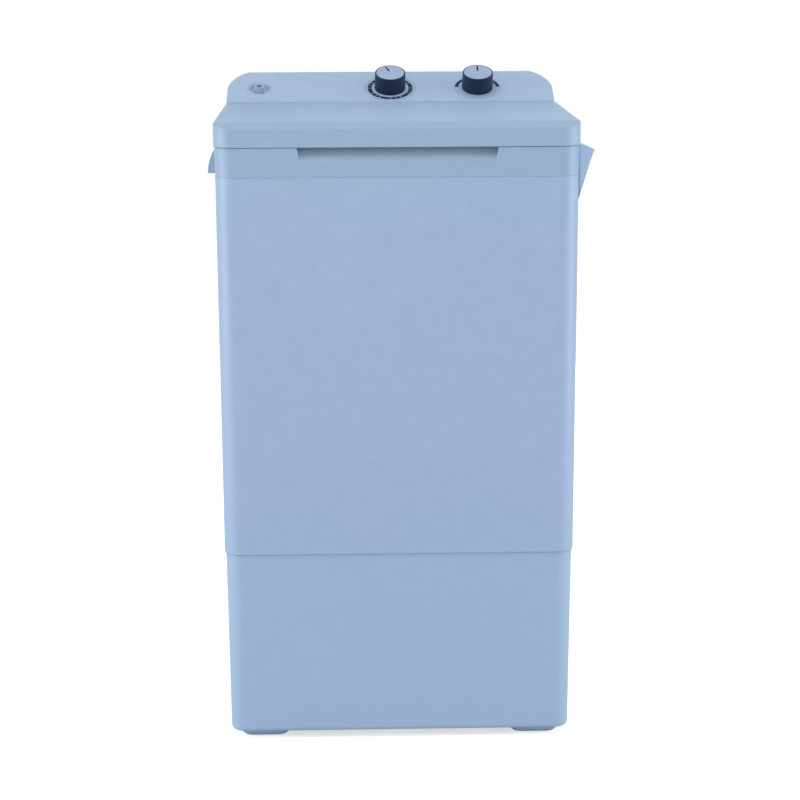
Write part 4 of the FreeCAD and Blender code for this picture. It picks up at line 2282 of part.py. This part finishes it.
MAKERS = (
    make_base,
    make_cabinet,
    make_top_frame,
    make_hose_holder,
    make_feet,
    make_lid,
    make_hinge_pins,
    make_bumpers,
    make_console,
    make_panel_controls,
    make_water_inlet,
    make_inlet_duct,
    make_wash_tub,
    make_lint_filter,
    make_overflow_cover,
    make_sump_grate,
    make_pulsator,
    make_pulsator_screw,
    make_wash_shaft,
    make_bearing_housing,
    make_bushes_and_seal,
    make_housing_screws,
    make_drive_pulley,
    make_motor_pulley,
    make_drive_belt,
    make_motor,
    make_motor_shaft,
    make_motor_plate,
    make_motor_mounts,
    make_motor_screws,
    make_capacitor,
    make_capacitor_clamp,
    make_drain_valve_body,
    make_drain_valve_plug,
    make_pull_rod,
    make_overflow_pipe,
    make_drain_pipe,
    make_service_cover,
    make_cover_screws,
    make_cord_gland,
)

for make in MAKERS:
    make()
DOC.recompute()

for item in DOC.Objects:
    if "Invalid" in item.State or "Error" in item.State:
        raise ValueError(f"{item.Label}: {item.State}")
for item in PARTS:
    if item.Shape.isNull() or not item.Shape.isValid() or item.Shape.Volume <= 0:
        raise ValueError(f"{item.Label}: not a valid solid")

os.makedirs("parts", exist_ok=True)
for item in PARTS:
    item.Shape.exportStep(f"parts/{item.Label}.step")
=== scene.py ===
import math

import bpy
from mathutils import Matrix, Vector


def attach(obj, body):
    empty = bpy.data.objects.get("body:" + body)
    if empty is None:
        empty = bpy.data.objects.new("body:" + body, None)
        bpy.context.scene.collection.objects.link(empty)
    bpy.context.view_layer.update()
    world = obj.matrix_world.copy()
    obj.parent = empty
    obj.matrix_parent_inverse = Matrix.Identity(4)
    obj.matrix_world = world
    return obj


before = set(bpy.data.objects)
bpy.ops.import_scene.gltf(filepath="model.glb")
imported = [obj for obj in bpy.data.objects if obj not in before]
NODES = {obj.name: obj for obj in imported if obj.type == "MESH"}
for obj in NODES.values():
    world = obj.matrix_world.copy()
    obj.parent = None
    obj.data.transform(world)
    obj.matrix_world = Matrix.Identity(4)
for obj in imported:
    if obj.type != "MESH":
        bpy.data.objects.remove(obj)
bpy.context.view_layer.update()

ROOT = "machine"
WHITE = (1.0, 1.0, 1.0, 1.0)


def srgb(red, green, blue):
    """A colour given in 0-255 display values, as linear values."""
    values = []
    for value in (red, green, blue):
        share = value / 255
        values.append(share / 12.92 if share <= 0.04045 else ((share + 0.055) / 1.055) ** 2.4)
    return (*values, 1.0)


def tinted(color, factors):
    """A colour with each channel multiplied by its own factor."""
    channels = (min(1.0, channel * factor) for channel, factor in zip(color, factors))
    return (*channels, 1.0)


def scaled(color, factor):
    """A darker or brighter shade of a colour."""
    return tinted(color, (factor, factor, factor))


def placed(name, data):
    """A new object that shows the data, linked into the scene."""
    made = bpy.data.objects.new(name, data)
    bpy.context.scene.collection.objects.link(made)
    return made


# ---------------------------------------------------------------- node trees

BEVEL_SAMPLES = 4


class Tree:
    """A node tree under construction. A value is a number, a colour or an output socket."""

    def __init__(self, owner):
        owner.use_nodes = True
        self.tree = owner.node_tree

    def node(self, kind, **settings):
        made = self.tree.nodes.new(kind)
        for name, value in settings.items():
            setattr(made, name, value)
        return made

    def feed(self, value, socket):
        """Link an output to the socket, or set the socket to a constant."""
        if isinstance(value, (float, tuple)):
            socket.default_value = value
        else:
            self.tree.links.new(value, socket)

    def calculate(self, operation, *values):
        """The output of a Math node over the values."""
        made = self.node("ShaderNodeMath", operation=operation)
        for value, socket in zip(values, made.inputs):
            self.feed(value, socket)
        return made.outputs[0]


class Recipe(Tree):
    """A node material under construction, with textures in the object's own place."""

    def __init__(self, name):
        self.material = bpy.data.materials.new(name)
        super().__init__(self.material)
        self.shader = self.tree.nodes["Principled BSDF"]
        self.place = self.node("ShaderNodeTexCoord").outputs["Object"]

    def axes(self):
        """The place's X, Y and Z as outputs."""
        split = self.node("ShaderNodeSeparateXYZ")
        self.feed(self.place, split.inputs["Vector"])
        return split.outputs

    def stretched(self, scale):
        mapping = self.node("ShaderNodeMapping")
        self.feed(scale, mapping.inputs["Scale"])
        self.feed(self.place, mapping.inputs["Vector"])
        return mapping.outputs["Vector"]

    def noise(self, scale, detail=3.0, roughness=0.5, place=None, distortion=0.0):
        texture = self.node("ShaderNodeTexNoise")
        self.feed(scale, texture.inputs["Scale"])
        self.feed(detail, texture.inputs["Detail"])
        self.feed(roughness, texture.inputs["Roughness"])
        self.feed(distortion, texture.inputs["Distortion"])
        self.feed(place or self.place, texture.inputs["Vector"])
        return texture.outputs["Fac"]

    def spread(self, source, low, high, start=0.3, end=0.7):
        """Map start..end, by default a noise's middle range, onto low..high."""
        ranged = self.node("ShaderNodeMapRange")
        self.feed(start, ranged.inputs["From Min"])
        self.feed(end, ranged.inputs["From Max"])
        self.feed(low, ranged.inputs["To Min"])
        self.feed(high, ranged.inputs["To Max"])
        self.feed(source, ranged.inputs["Value"])
        return ranged.outputs["Result"]

    def mix(self, factor, first, second):
        mixed = self.node("ShaderNodeMix", data_type="RGBA")
        self.feed(factor, mixed.inputs["Factor"])
        self.feed(first, mixed.inputs["A"])
        self.feed(second, mixed.inputs["B"])
        return mixed.outputs["Result"]

    def shades(self, source, color, dark, bright):
        """The colour between its darker and its brighter shade, as a texture goes."""
        return self.mix(self.spread(source, 0.0, 1.0), scaled(color, dark), scaled(color, bright))

    def edges(self, start, end):
        """1 along outer edges and 0 on flat faces and in hollows."""
        geometry = self.node("ShaderNodeNewGeometry")
        return self.spread(geometry.outputs["Pointiness"], 0.0, 1.0, start, end)

    def bump(self, *layers, radius=0.0):
        """Stack bumps given as (height, strength, distance) on a softly rounded normal."""
        normal = None
        if radius:
            rounded = self.node("ShaderNodeBevel", samples=BEVEL_SAMPLES)
            self.feed(radius, rounded.inputs["Radius"])
            normal = rounded.outputs["Normal"]
        for height, strength, distance in layers:
            bump = self.node("ShaderNodeBump")
            self.feed(strength, bump.inputs["Strength"])
            self.feed(distance, bump.inputs["Distance"])
            self.feed(height, bump.inputs["Height"])
            if normal:
                self.feed(normal, bump.inputs["Normal"])
            normal = bump.outputs["Normal"]
        self.feed(normal, self.shader.inputs["Normal"])

    def coat(self, tone, roughness, **sockets):
        """Feed the shader. A socket's name has _ for each space."""
        self.feed(tone, self.shader.inputs["Base Color"])
        self.feed(roughness, self.shader.inputs["Roughness"])
        for name, value in sockets.items():
            self.feed(value, self.shader.inputs[name.replace("_", " ")])


# ---------------------------------------------------------------- materials

# Factors of red, green and blue in the plastic's cooler patches.
COOLER = (0.982, 1.003, 1.005)

# The warmer shade of cabinet and base: the height of its middle, how far the cloudy noise
# moves its edge, and the distances from the middle between which it fades.
HEART_LEVEL = 0.54
HEART_CLOUD = 0.35
HEART_FADE = (0.31, 0.42)

# Drawn metal's grain as noise scales along X, Y and Z, and the spacing of the net's threads.
METAL_GRAIN = (60.0, 60.0, 4.0)
WEAVE_PITCH = 0.0011

PRIMER = srgb(150, 148, 143)


def warmed(recipe, tone, heart):
    """The tone with the warmer shade in the middle of the shell's height."""
    away = recipe.calculate("SUBTRACT", recipe.axes()["Z"], HEART_LEVEL)
    far = recipe.calculate("ABSOLUTE", away)
    cloud = recipe.noise(scale=4.0)
    cloudy = recipe.calculate("MULTIPLY_ADD", cloud, HEART_CLOUD, far)
    return recipe.mix(recipe.spread(cloudy, 1.0, 0.0, *HEART_FADE), tone, heart)


def moulded(name, color, roughness=0.46, radius=0.0022, wear=0.24, specular=0.02, heart=None):
    """Injection-moulded plastic: flow shades, orange peel, rubbed edges and faint scuffs.

    heart is the warmer shade that the middle of the shell's height has, with a cloudy edge.
    """
    recipe = Recipe(name)
    flow = recipe.noise(scale=2.3, detail=4.0, roughness=0.6, distortion=0.4)
    tone = recipe.shades(flow, color, 0.988, 1.01)
    cool = recipe.noise(scale=0.9, detail=2.0)
    tone = recipe.mix(recipe.spread(cool, 0.0, 0.7), tone, tinted(color, COOLER))
    if heart:
        tone = warmed(recipe, tone, heart)
    worn = recipe.edges(0.505, 0.56)
    patch = recipe.noise(scale=38.0, detail=5.0, roughness=0.7)
    patchy = recipe.spread(patch, 0.0, wear, start=0.42, end=0.75)
    rubbed = recipe.calculate("MULTIPLY", worn, patchy)
    tone = recipe.mix(rubbed, tone, scaled(color, 1.25))
    along = recipe.stretched((1.0, 1.0, 0.35))
    scuffs = recipe.noise(scale=9.0, detail=6.0, roughness=0.65, place=along)
    dulled = recipe.spread(scuffs, roughness - 0.05, roughness + 0.07)
    recipe.coat(tone, dulled, Specular_IOR_Level=specular)
    peel = recipe.noise(scale=420.0, detail=2.0)
    waves = recipe.noise(scale=5.0, detail=1.0)
    recipe.bump((waves, 0.03, 0.0005), (peel, 0.05, 0.0002), radius=radius)
    return recipe.material


def metal(name, color, roughness):
    """Bare or plated metal with drawn grain, blotches and dulled edges."""
    recipe = Recipe(name)
    blotch = recipe.noise(scale=22.0, detail=5.0, roughness=0.6)
    lines = recipe.noise(scale=14.0, detail=4.0, place=recipe.stretched(METAL_GRAIN))
    tone = recipe.shades(blotch, color, 0.86, 1.06)
    tone = recipe.mix(recipe.spread(lines, 0.0, 0.35), tone, scaled(color, 0.72))
    tone = recipe.mix(recipe.edges(0.51, 0.58), tone, scaled(color, 1.22))
    dulled = recipe.spread(blotch, roughness - 0.08, roughness + 0.1)
    recipe.coat(tone, dulled, Metallic=1.0, Anisotropic=0.3)
    pits = recipe.noise(scale=300.0)
    recipe.bump((lines, 0.12, 0.0002), (pits, 0.05, 0.0001), radius=0.0004)
    return recipe.material


def cast(name, color):
    """Sand-cast alloy: grainy and uneven."""
    recipe = Recipe(name)
    grain = recipe.noise(scale=520.0, detail=4.0, roughness=0.7)
    blotch = recipe.noise(scale=18.0, detail=4.0)
    tone = recipe.shades(blotch, color, 0.8, 1.05)
    tone = recipe.mix(recipe.edges(0.5, 0.56), tone, scaled(color, 1.25))
    recipe.coat(tone, recipe.spread(blotch, 0.42, 0.6), Metallic=0.9)
    recipe.bump((grain, 0.35, 0.0004), radius=0.0006)
    return recipe.material


def rubber(name, color, dust):
    """Black rubber with a mould's matt skin and dust along its edges."""
    recipe = Recipe(name)
    blotch = recipe.noise(scale=26.0, detail=5.0, roughness=0.65)
    tone = recipe.shades(blotch, color, 0.8, 1.3)
    tone = recipe.mix(recipe.edges(0.5, 0.6), tone, dust)
    recipe.coat(tone, recipe.spread(blotch, 0.62, 0.82), Specular_IOR_Level=0.3)
    skin = recipe.noise(scale=650.0, detail=3.0)
    recipe.bump((skin, 0.25, 0.0003), radius=0.0006)
    return recipe.material


def netting(name, color):
    """Fine woven net: two crossed sets of threads with gaps that let light through."""
    recipe = Recipe(name)
    axes = recipe.axes()
    threads = []
    for axis in ("Y", "Z"):
        phase = recipe.calculate("MULTIPLY", axes[axis], 2 * math.pi / WEAVE_PITCH)
        threads.append(recipe.calculate("SINE", phase))
    weave = recipe.calculate("MAXIMUM", *threads)
    alpha = recipe.spread(weave, 0.35, 1.0, start=-0.2, end=0.4)
    tone = recipe.shades(recipe.noise(scale=60.0), color, 0.85, 1.0)
    recipe.coat(tone, 0.75, Alpha=alpha)
    recipe.bump((weave, 0.6, 0.0003))
    return recipe.material


def painted(name, color):
    """Stoved paint on sheet metal: orange peel, chips on edges."""
    recipe = Recipe(name)
    blotch = recipe.noise(scale=12.0, detail=4.0)
    tone = recipe.shades(blotch, color, 0.85, 1.15)
    flakes = recipe.noise(scale=90.0, detail=6.0)
    flaked = recipe.spread(flakes, 0.0, 1.0, start=0.5, end=0.6)
    chips = recipe.calculate("MULTIPLY", recipe.edges(0.52, 0.6), flaked)
    tone = recipe.mix(chips, tone, PRIMER)
    recipe.coat(tone, recipe.spread(blotch, 0.32, 0.46))
    recipe.bump((recipe.noise(scale=260.0), 0.1, 0.0002), radius=0.0006)
    return recipe.material


def printed(name, color):
    """Pad-printed ink on the panel, slightly uneven."""
    recipe = Recipe(name)
    uneven = recipe.noise(scale=240.0, detail=4.0)
    tone = recipe.shades(uneven, color, 0.85, 1.15)
    recipe.coat(tone, recipe.spread(uneven, 0.4, 0.55), Specular_IOR_Level=0.02)
    recipe.bump((uneven, 0.1, 0.0001))
    return recipe.material


# What the glossy outside and the matt, fine-grained faces have in common.
GLOSSY = {"roughness": 0.36, "specular": 0.35}
GRAINED = {"specular": 0.005}
HEART = srgb(152, 171, 203)

MATERIALS = {
    "shell": moulded("cabinet_blue_plastic", srgb(148, 173, 201), heart=HEART, **GLOSSY),
    "base": moulded("base_blue_plastic", srgb(150, 175, 204), heart=HEART, **GLOSSY),
    "collar": moulded("collar_blue_plastic", srgb(143, 168, 195), radius=0.0008, **GLOSSY),
    "lid": moulded("lid_blue_plastic", srgb(154, 178, 203), **GRAINED),
    # Painted shade: the lid's upright skirt faces in a darker, polished copy of the lid's colour.
    "skirt": moulded("lid_skirt_painted_shade", srgb(144, 168, 194), radius=0.0008, **GLOSSY),
    # Painted light: the finger recess paler than the collar round it, lifting the shade under the
    # lid's overhang.
    "recess": moulded("recess_painted_light", srgb(158, 181, 207)),
    "holder": moulded("holder_plastic", srgb(167, 188, 218)),
    # Painted light: the water inlet's bowl and nozzle paler than the panel, lifting the shade in
    # its bowl and bore.
    "inlet": moulded("inlet_painted_light", srgb(172, 190, 214), **GRAINED),
    "panel": moulded("panel_blue_plastic", srgb(163, 183, 209), **GRAINED),
    "knob": moulded(
        "knob_navy_plastic",
        srgb(32, 47, 74),
        roughness=0.4,
        radius=0.0006,
        wear=0.04,
        specular=0.2,
    ),
    "cap": moulded("knob_cap_plastic", srgb(156, 174, 199), radius=0.0002, wear=0.2),
    "tub": moulded("tub_plastic", srgb(196, 206, 218), roughness=0.38, radius=0.002),
    "pulsator": moulded("pulsator_plastic", srgb(120, 150, 196), roughness=0.33, radius=0.0015),
    "white": moulded("white_plastic", srgb(214, 213, 206), roughness=0.45, radius=0.0005),
    "grey": moulded("grey_plastic", srgb(150, 155, 160), roughness=0.45, radius=0.0006),
    "dark": moulded("dark_plastic", srgb(34, 34, 38), roughness=0.5, radius=0.0005),
    "rubber": rubber("black_rubber", srgb(30, 30, 31), srgb(78, 77, 74)),
    "foot": moulded("foot_plastic", srgb(152, 175, 202), roughness=0.5),
    "steel": metal("plated_steel", srgb(196, 196, 192), 0.32),
    "cast": cast("cast_alloy", srgb(186, 187, 189)),
    "bronze": metal("sintered_bronze", srgb(176, 132, 74), 0.45),
    "paint": painted("motor_black_paint", srgb(36, 38, 42)),
    "net": netting("filter_net", srgb(226, 229, 230)),
    "ink": printed("dial_ink", srgb(44, 58, 88)),
    "pale_ink": printed("dial_pale_ink", srgb(176, 194, 220)),
    "grey_ink": printed("dial_grey_ink", srgb(122, 141, 172)),
}

FINISHES = {
    "shell": ("cabinet", "service_cover"),
    "base": ("base",),
    "collar": ("top_frame",),
    "holder": ("hose_holder",),
    "lid": ("lid",),
    "panel": ("console",),
    "inlet": ("water_inlet",),
    "knob": ("timer_knob", "selector_knob"),
    "cap": ("timer_knob_cap", "selector_knob_cap"),
    "tub": ("wash_tub", "inlet_duct"),
    "pulsator": ("pulsator", "pulsator_screw", "lint_filter_frame", "overflow_cover", "sump_grate"),
    "white": ("wash_timer", "selector_switch", "selector_lever", "capacitor", "drain_pull_rod"),
    "grey": ("drain_valve_body", "overflow_pipe", "drain_pipe"),
    "dark": ("cord_gland",),
    "rubber": ("lid_bumpers", "shaft_seal", "drive_belt", "motor_mounts", "drain_valve_plug"),
    "foot": ("foot_front_left", "foot_front_right", "foot_rear_left", "foot_rear_right"),
    "steel": (
        "lid_hinge_pins",
        "timer_spindle",
        "selector_spindle",
        "wash_shaft",
        "housing_screws",
        "motor_shaft",
        "motor_plate",
        "motor_screws",
        "capacitor_clamp",
        "service_cover_screws",
    ),
    "cast": ("bearing_housing", "drive_pulley", "motor_pulley"),
    "bronze": ("upper_bush", "lower_bush"),
    "paint": ("motor",),
    "net": ("lint_filter_net",),
}

for finish, names in FINISHES.items():
    for name in names:
        mesh = NODES[name].data
        mesh.materials.clear()
        mesh.materials.append(MATERIALS[finish])

# How far up a face of the lid's skirt looks at most, as its normal's Z; these upright faces get the
# darker painted shade.
SKIRT_TILT = 0.3

# The finger recess, painted paler as painted light: its faces' slope as the normal's Z, its half
# width and its heights.
RECESS_TILT = (0.2, 0.8)
RECESS_HALF_WIDTH = 0.14
RECESS_LEVELS = (0.82, 0.835)


def on_skirt(center, normal):
    return abs(normal.z) < SKIRT_TILT


def in_recess(center, normal):
    sloped = RECESS_TILT[0] < normal.z < RECESS_TILT[1]
    level = RECESS_LEVELS[0] < center.z < RECESS_LEVELS[1]
    return sloped and level and abs(center.x) < RECESS_HALF_WIDTH


def refinish(name, finish, chosen):
    """Give the faces that are chosen by their centre and normal another material, which paints
    shade or light on them.
    """
    mesh = NODES[name].data
    mesh.materials.append(MATERIALS[finish])
    for face in mesh.polygons:
        if chosen(NODES[name].matrix_world @ face.center, face.normal):
            face.material_index = 1


# The lid's skirt is polished below its matt top and darker as painted shade, and the finger recess
# is matt and paler as painted light against the shade under the lid.
refinish("lid", "skirt", on_skirt)
refinish("top_frame", "recess", in_recess)


# ---------------------------------------------------------------- printed dials

# The tilted panel's plane: its front edge and slope, and the knobs' places on it.
PANEL_ANGLE = math.atan2(42, 84)
PANEL_FRONT = Vector((0.0, 0.153, 0.879))
PANEL_TURN = Matrix.Rotation(PANEL_ANGLE, 4, "X")
KNOB_STATION = 0.042
TIMER_X = 0.0
SELECTOR_X = 0.1345

# Heights over the panel: the prints, the numbers and the strips in the caps' slots.
PRINT_HEIGHT = 0.00012
NUMBER_HEIGHT = 0.00022
CAP_TOP = 0.0268
FILL_HEIGHT = CAP_TOP + 0.0001

# Rings are inner and outer radii, and arcs are degrees, anticlockwise from the right.
SECTOR_STEPS_PER_DEGREE = 0.5
WHOLE = ((0, 360),)

TICK_STEP = 30
TICK_GAP = 1.1
TIMER_ZERO = 105
TIMER_RING = (0.0284, 0.0349)
TIMER_INNER_RING = (0.0256, 0.0278)
TIMER_CIRCLE = (0.0387, 0.0394)
TIMER_CIRCLE_ARCS = ((-20, 200), (220, 262), (278, 335))

NUMBERS = 6
NUMBER_STEP = 3
NUMBER_RADIUS = 0.0317
NUMBER_SIZE = 0.0042
NUMBER_DEPTH = 0.00004

SELECTOR_RING = (0.0292, 0.0346)
SELECTOR_ARCS = ((4, 50), (130, 176))
SELECTOR_OUTER_CIRCLE = (0.0346, 0.0352)
SELECTOR_MIDDLE_CIRCLE = (0.0304, 0.0309)
SELECTOR_INNER_CIRCLE = (0.0270, 0.0276)
LOWER_HALF = ((180, 360),)

# The strips in the pointer slots, from the knob's centre, and the timer's lean in degrees.
POINTER_HALF_WIDTH = 0.0013
POINTER_START = 0.0046
POINTER_END = 0.0188
TIMER_LEAN = 20


def on_panel(x, along, height):
    """The matrix that stands a thing on the panel's plane, at x and so far up its slope."""
    edge = Matrix.Translation((x, 0, 0)) @ Matrix.Translation(PANEL_FRONT)
    return edge @ PANEL_TURN @ Matrix.Translation((0, along, height))


def lay(name, shape, finish, x, height=PRINT_HEIGHT, body=ROOT):
    """A flat (corners, faces) shape round the knob at x, at a height over the panel."""
    corners, faces = shape
    mesh = bpy.data.meshes.new(name)
    mesh.from_pydata([(right, up, 0.0) for right, up in corners], [], faces)
    mesh.materials.append(MATERIALS[finish])
    piece = placed(name, mesh)
    piece.matrix_world = on_panel(x, KNOB_STATION, height)
    bpy.context.view_layer.update()
    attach(piece, body)


def sector(radii, start, end):
    """A flat ring sector as corners and faces."""
    count = max(2, round((end - start) * SECTOR_STEPS_PER_DEGREE))
    corners = []
    for index in range(count + 1):
        turn = math.radians(start + (end - start) * index / count)
        for radius in radii:
            corners.append((radius * math.cos(turn), radius * math.sin(turn)))
    faces = [(2 * i, 2 * i + 1, 2 * i + 3, 2 * i + 2) for i in range(count)]
    return corners, faces


def joined(shapes):
    """Several (corners, faces) as one."""
    corners, faces = [], []
    for more_corners, more_faces in shapes:
        offset = len(corners)
        corners.extend(more_corners)
        faces.extend(tuple(index + offset for index in face) for face in more_faces)
    return corners, faces


def ring(radii, arcs=WHOLE):
    """The sectors of a flat ring that the arcs leave."""
    return joined([sector(radii, start, end) for start, end in arcs])


def dial_number(text, x, turn):
    """A plain number standing upright on the panel at a turn round the knob, in degrees."""
    curve = bpy.data.curves.new("number_" + text, "FONT")
    curve.body = text
    curve.size = NUMBER_SIZE
    curve.align_x = "CENTER"
    curve.align_y = "CENTER"
    curve.extrude = NUMBER_DEPTH
    curve.materials.append(MATERIALS["pale_ink"])
    angle = math.radians(turn)
    right = x + NUMBER_RADIUS * math.cos(angle)
    along = KNOB_STATION + NUMBER_RADIUS * math.sin(angle)
    piece = placed(f"dial_number_{text}_{round(x * 1000)}", curve)
    piece.matrix_world = on_panel(right, along, NUMBER_HEIGHT)
    bpy.context.view_layer.update()
    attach(piece, ROOT)


def pointer_fill(name, x, turn, body):
    """The navy strip pressed into a cap's pointer slot."""
    across = Matrix.Rotation(math.radians(turn), 2)
    outline = (
        (-POINTER_HALF_WIDTH, POINTER_START),
        (POINTER_HALF_WIDTH, POINTER_START),
        (POINTER_HALF_WIDTH, POINTER_END),
        (-POINTER_HALF_WIDTH, POINTER_END),
    )
    corners = [across @ Vector(corner) for corner in outline]
    lay(name, (corners, [(0, 1, 2, 3)]), "ink", x, FILL_HEIGHT, body)


# Timer: a dark ring that pale ticks divide, a pale ring inside and a broken circle outside.
ticks = range(TIMER_ZERO + TICK_STEP - 360, TIMER_ZERO + TICK_STEP, TICK_STEP)
reach = TICK_STEP // 2
timer_arcs = [(tick - reach + TICK_GAP, tick + reach - TICK_GAP) for tick in ticks]
lay("timer_dial_ring", ring(TIMER_RING, timer_arcs), "ink", TIMER_X)
lay("timer_dial_inner", ring(TIMER_INNER_RING), "pale_ink", TIMER_X)
lay("timer_dial_circle", ring(TIMER_CIRCLE, TIMER_CIRCLE_ARCS), "grey_ink", TIMER_X)

# Selector: dark sectors at both sides, two thin circles and the lower half of a third.
lay("selector_dial_sectors", ring(SELECTOR_RING, SELECTOR_ARCS), "ink", SELECTOR_X)
circles = (
    ring(SELECTOR_OUTER_CIRCLE),
    ring(SELECTOR_MIDDLE_CIRCLE, LOWER_HALF),
    ring(SELECTOR_INNER_CIRCLE),
)
lay("selector_dial_circles", joined(circles), "grey_ink", SELECTOR_X)

for index in range(NUMBERS):
    dial_number(str(NUMBER_STEP * index), TIMER_X, TIMER_ZERO - 2 * TICK_STEP * index)

pointer_fill("timer_pointer_fill", TIMER_X, TIMER_LEAN, "timer_knob_body")
pointer_fill("selector_pointer_fill", SELECTOR_X, 0, "selector_knob_body")


# ---------------------------------------------------------------- camera, light and stage

# The photo's camera, as it was fitted: place, turns in radians, lens and sensor in mm.
CAMERA_PLACE = (-0.0767, -3.1147, 1.0471)
YAW, PITCH, ROLL = 0.02717858, 0.19087263, -0.00440304
LENS = 95.64
SENSOR_WIDTH = 36.0

# Lamps: place, the point they face, width, height and power.
SOFTBOXES = {
    "key_left": ((-2.0, -0.6, 0.6), (0.0, -0.1, 0.5), 1.3, 1.8, 24),
    "fill_right": ((2.0, -0.55, 0.6), (0.0, -0.1, 0.5), 1.3, 1.8, 21),
    "front": ((0.1, -3.9, 0.8), (0.0, 0.0, 0.5), 2.4, 1.6, 17),
    "overhead": ((0.0, -0.7, 3.2), (0.0, 0.0, 0.5), 2.2, 2.2, 26),
    "back": ((0.4, 2.8, 0.9), (0.0, 0.0, 0.5), 1.8, 1.4, 16),
}

# The room's light on the machine, and the white that the camera sees behind it.
AMBIENT_STRENGTH = 0.6
BACKDROP_STRENGTH = 1.0

FLOOR_REACH = 9
FLOOR_COLOR = (0.8, 0.8, 0.8, 1.0)
FLOOR_GLOW = 0.6

forward = Vector(
    (math.sin(YAW) * math.cos(PITCH), math.cos(YAW) * math.cos(PITCH), -math.sin(PITCH))
)
level = Vector((math.cos(YAW), -math.sin(YAW), 0.0))
upward = level.cross(forward)
right = math.cos(ROLL) * level + math.sin(ROLL) * upward
up = -math.sin(ROLL) * level + math.cos(ROLL) * upward
camera = placed("camera", bpy.data.cameras.new("camera"))
camera.data.lens = LENS
camera.data.sensor_width = SENSOR_WIDTH
camera.matrix_world = Matrix.Translation(CAMERA_PLACE) @ Matrix(
    ((right.x, up.x, -forward.x), (right.y, up.y, -forward.y), (right.z, up.z, -forward.z))
).to_4x4()
bpy.context.scene.camera = camera

for name, (place, aim, width, height, power) in SOFTBOXES.items():
    light = bpy.data.lights.new(name, "AREA")
    light.shape = "RECTANGLE"
    light.size = width
    light.size_y = height
    light.energy = power
    lamp = placed(name, light)
    lamp.location = place
    lamp.rotation_mode = "QUATERNION"
    lamp.rotation_quaternion = (Vector(aim) - Vector(place)).to_track_quat("-Z", "Y")

world = bpy.data.worlds.new("studio")
bpy.context.scene.world = world
studio = Tree(world)
studio.tree.nodes.clear()
rays = studio.node("ShaderNodeLightPath").outputs
seen = studio.calculate("MAXIMUM", rays["Is Camera Ray"], rays["Is Glossy Ray"])
shown = studio.calculate("MAXIMUM", seen, rays["Is Transmission Ray"])
blend = studio.node("ShaderNodeMixShader")
studio.feed(shown, blend.inputs["Fac"])
for strength, socket in ((AMBIENT_STRENGTH, blend.inputs[1]), (BACKDROP_STRENGTH, blend.inputs[2])):
    background = studio.node("ShaderNodeBackground")
    studio.feed(WHITE, background.inputs["Color"])
    studio.feed(strength, background.inputs["Strength"])
    studio.feed(background.outputs[0], socket)
out = studio.node("ShaderNodeOutputWorld")
studio.feed(blend.outputs[0], out.inputs["Surface"])

# The floor: plain and pale, and lifted towards the white of the backdrop for the camera.
floor_mesh = bpy.data.meshes.new("floor")
floor_corners = [
    (x * FLOOR_REACH, y * FLOOR_REACH, 0) for x, y in ((-1, -1), (1, -1), (1, 1), (-1, 1))
]
floor_mesh.from_pydata(floor_corners, [], [(0, 1, 2, 3)])
floor = placed("floor", floor_mesh)
pale = bpy.data.materials.new("pale_floor")
ground = Tree(pale)
ground.tree.nodes.clear()
rays = ground.node("ShaderNodeLightPath").outputs
diffuse = ground.node("ShaderNodeBsdfDiffuse")
ground.feed(FLOOR_COLOR, diffuse.inputs["Color"])
glow = ground.node("ShaderNodeEmission")
lift = ground.calculate("MULTIPLY", rays["Is Camera Ray"], FLOOR_GLOW)
ground.feed(lift, glow.inputs["Strength"])
both = ground.node("ShaderNodeAddShader")
ground.feed(diffuse.outputs[0], both.inputs[0])
ground.feed(glow.outputs[0], both.inputs[1])
out = ground.node("ShaderNodeOutputMaterial")
ground.feed(both.outputs[0], out.inputs["Surface"])
floor_mesh.materials.append(pale)

bpy.context.scene.view_settings.view_transform = "Standard"
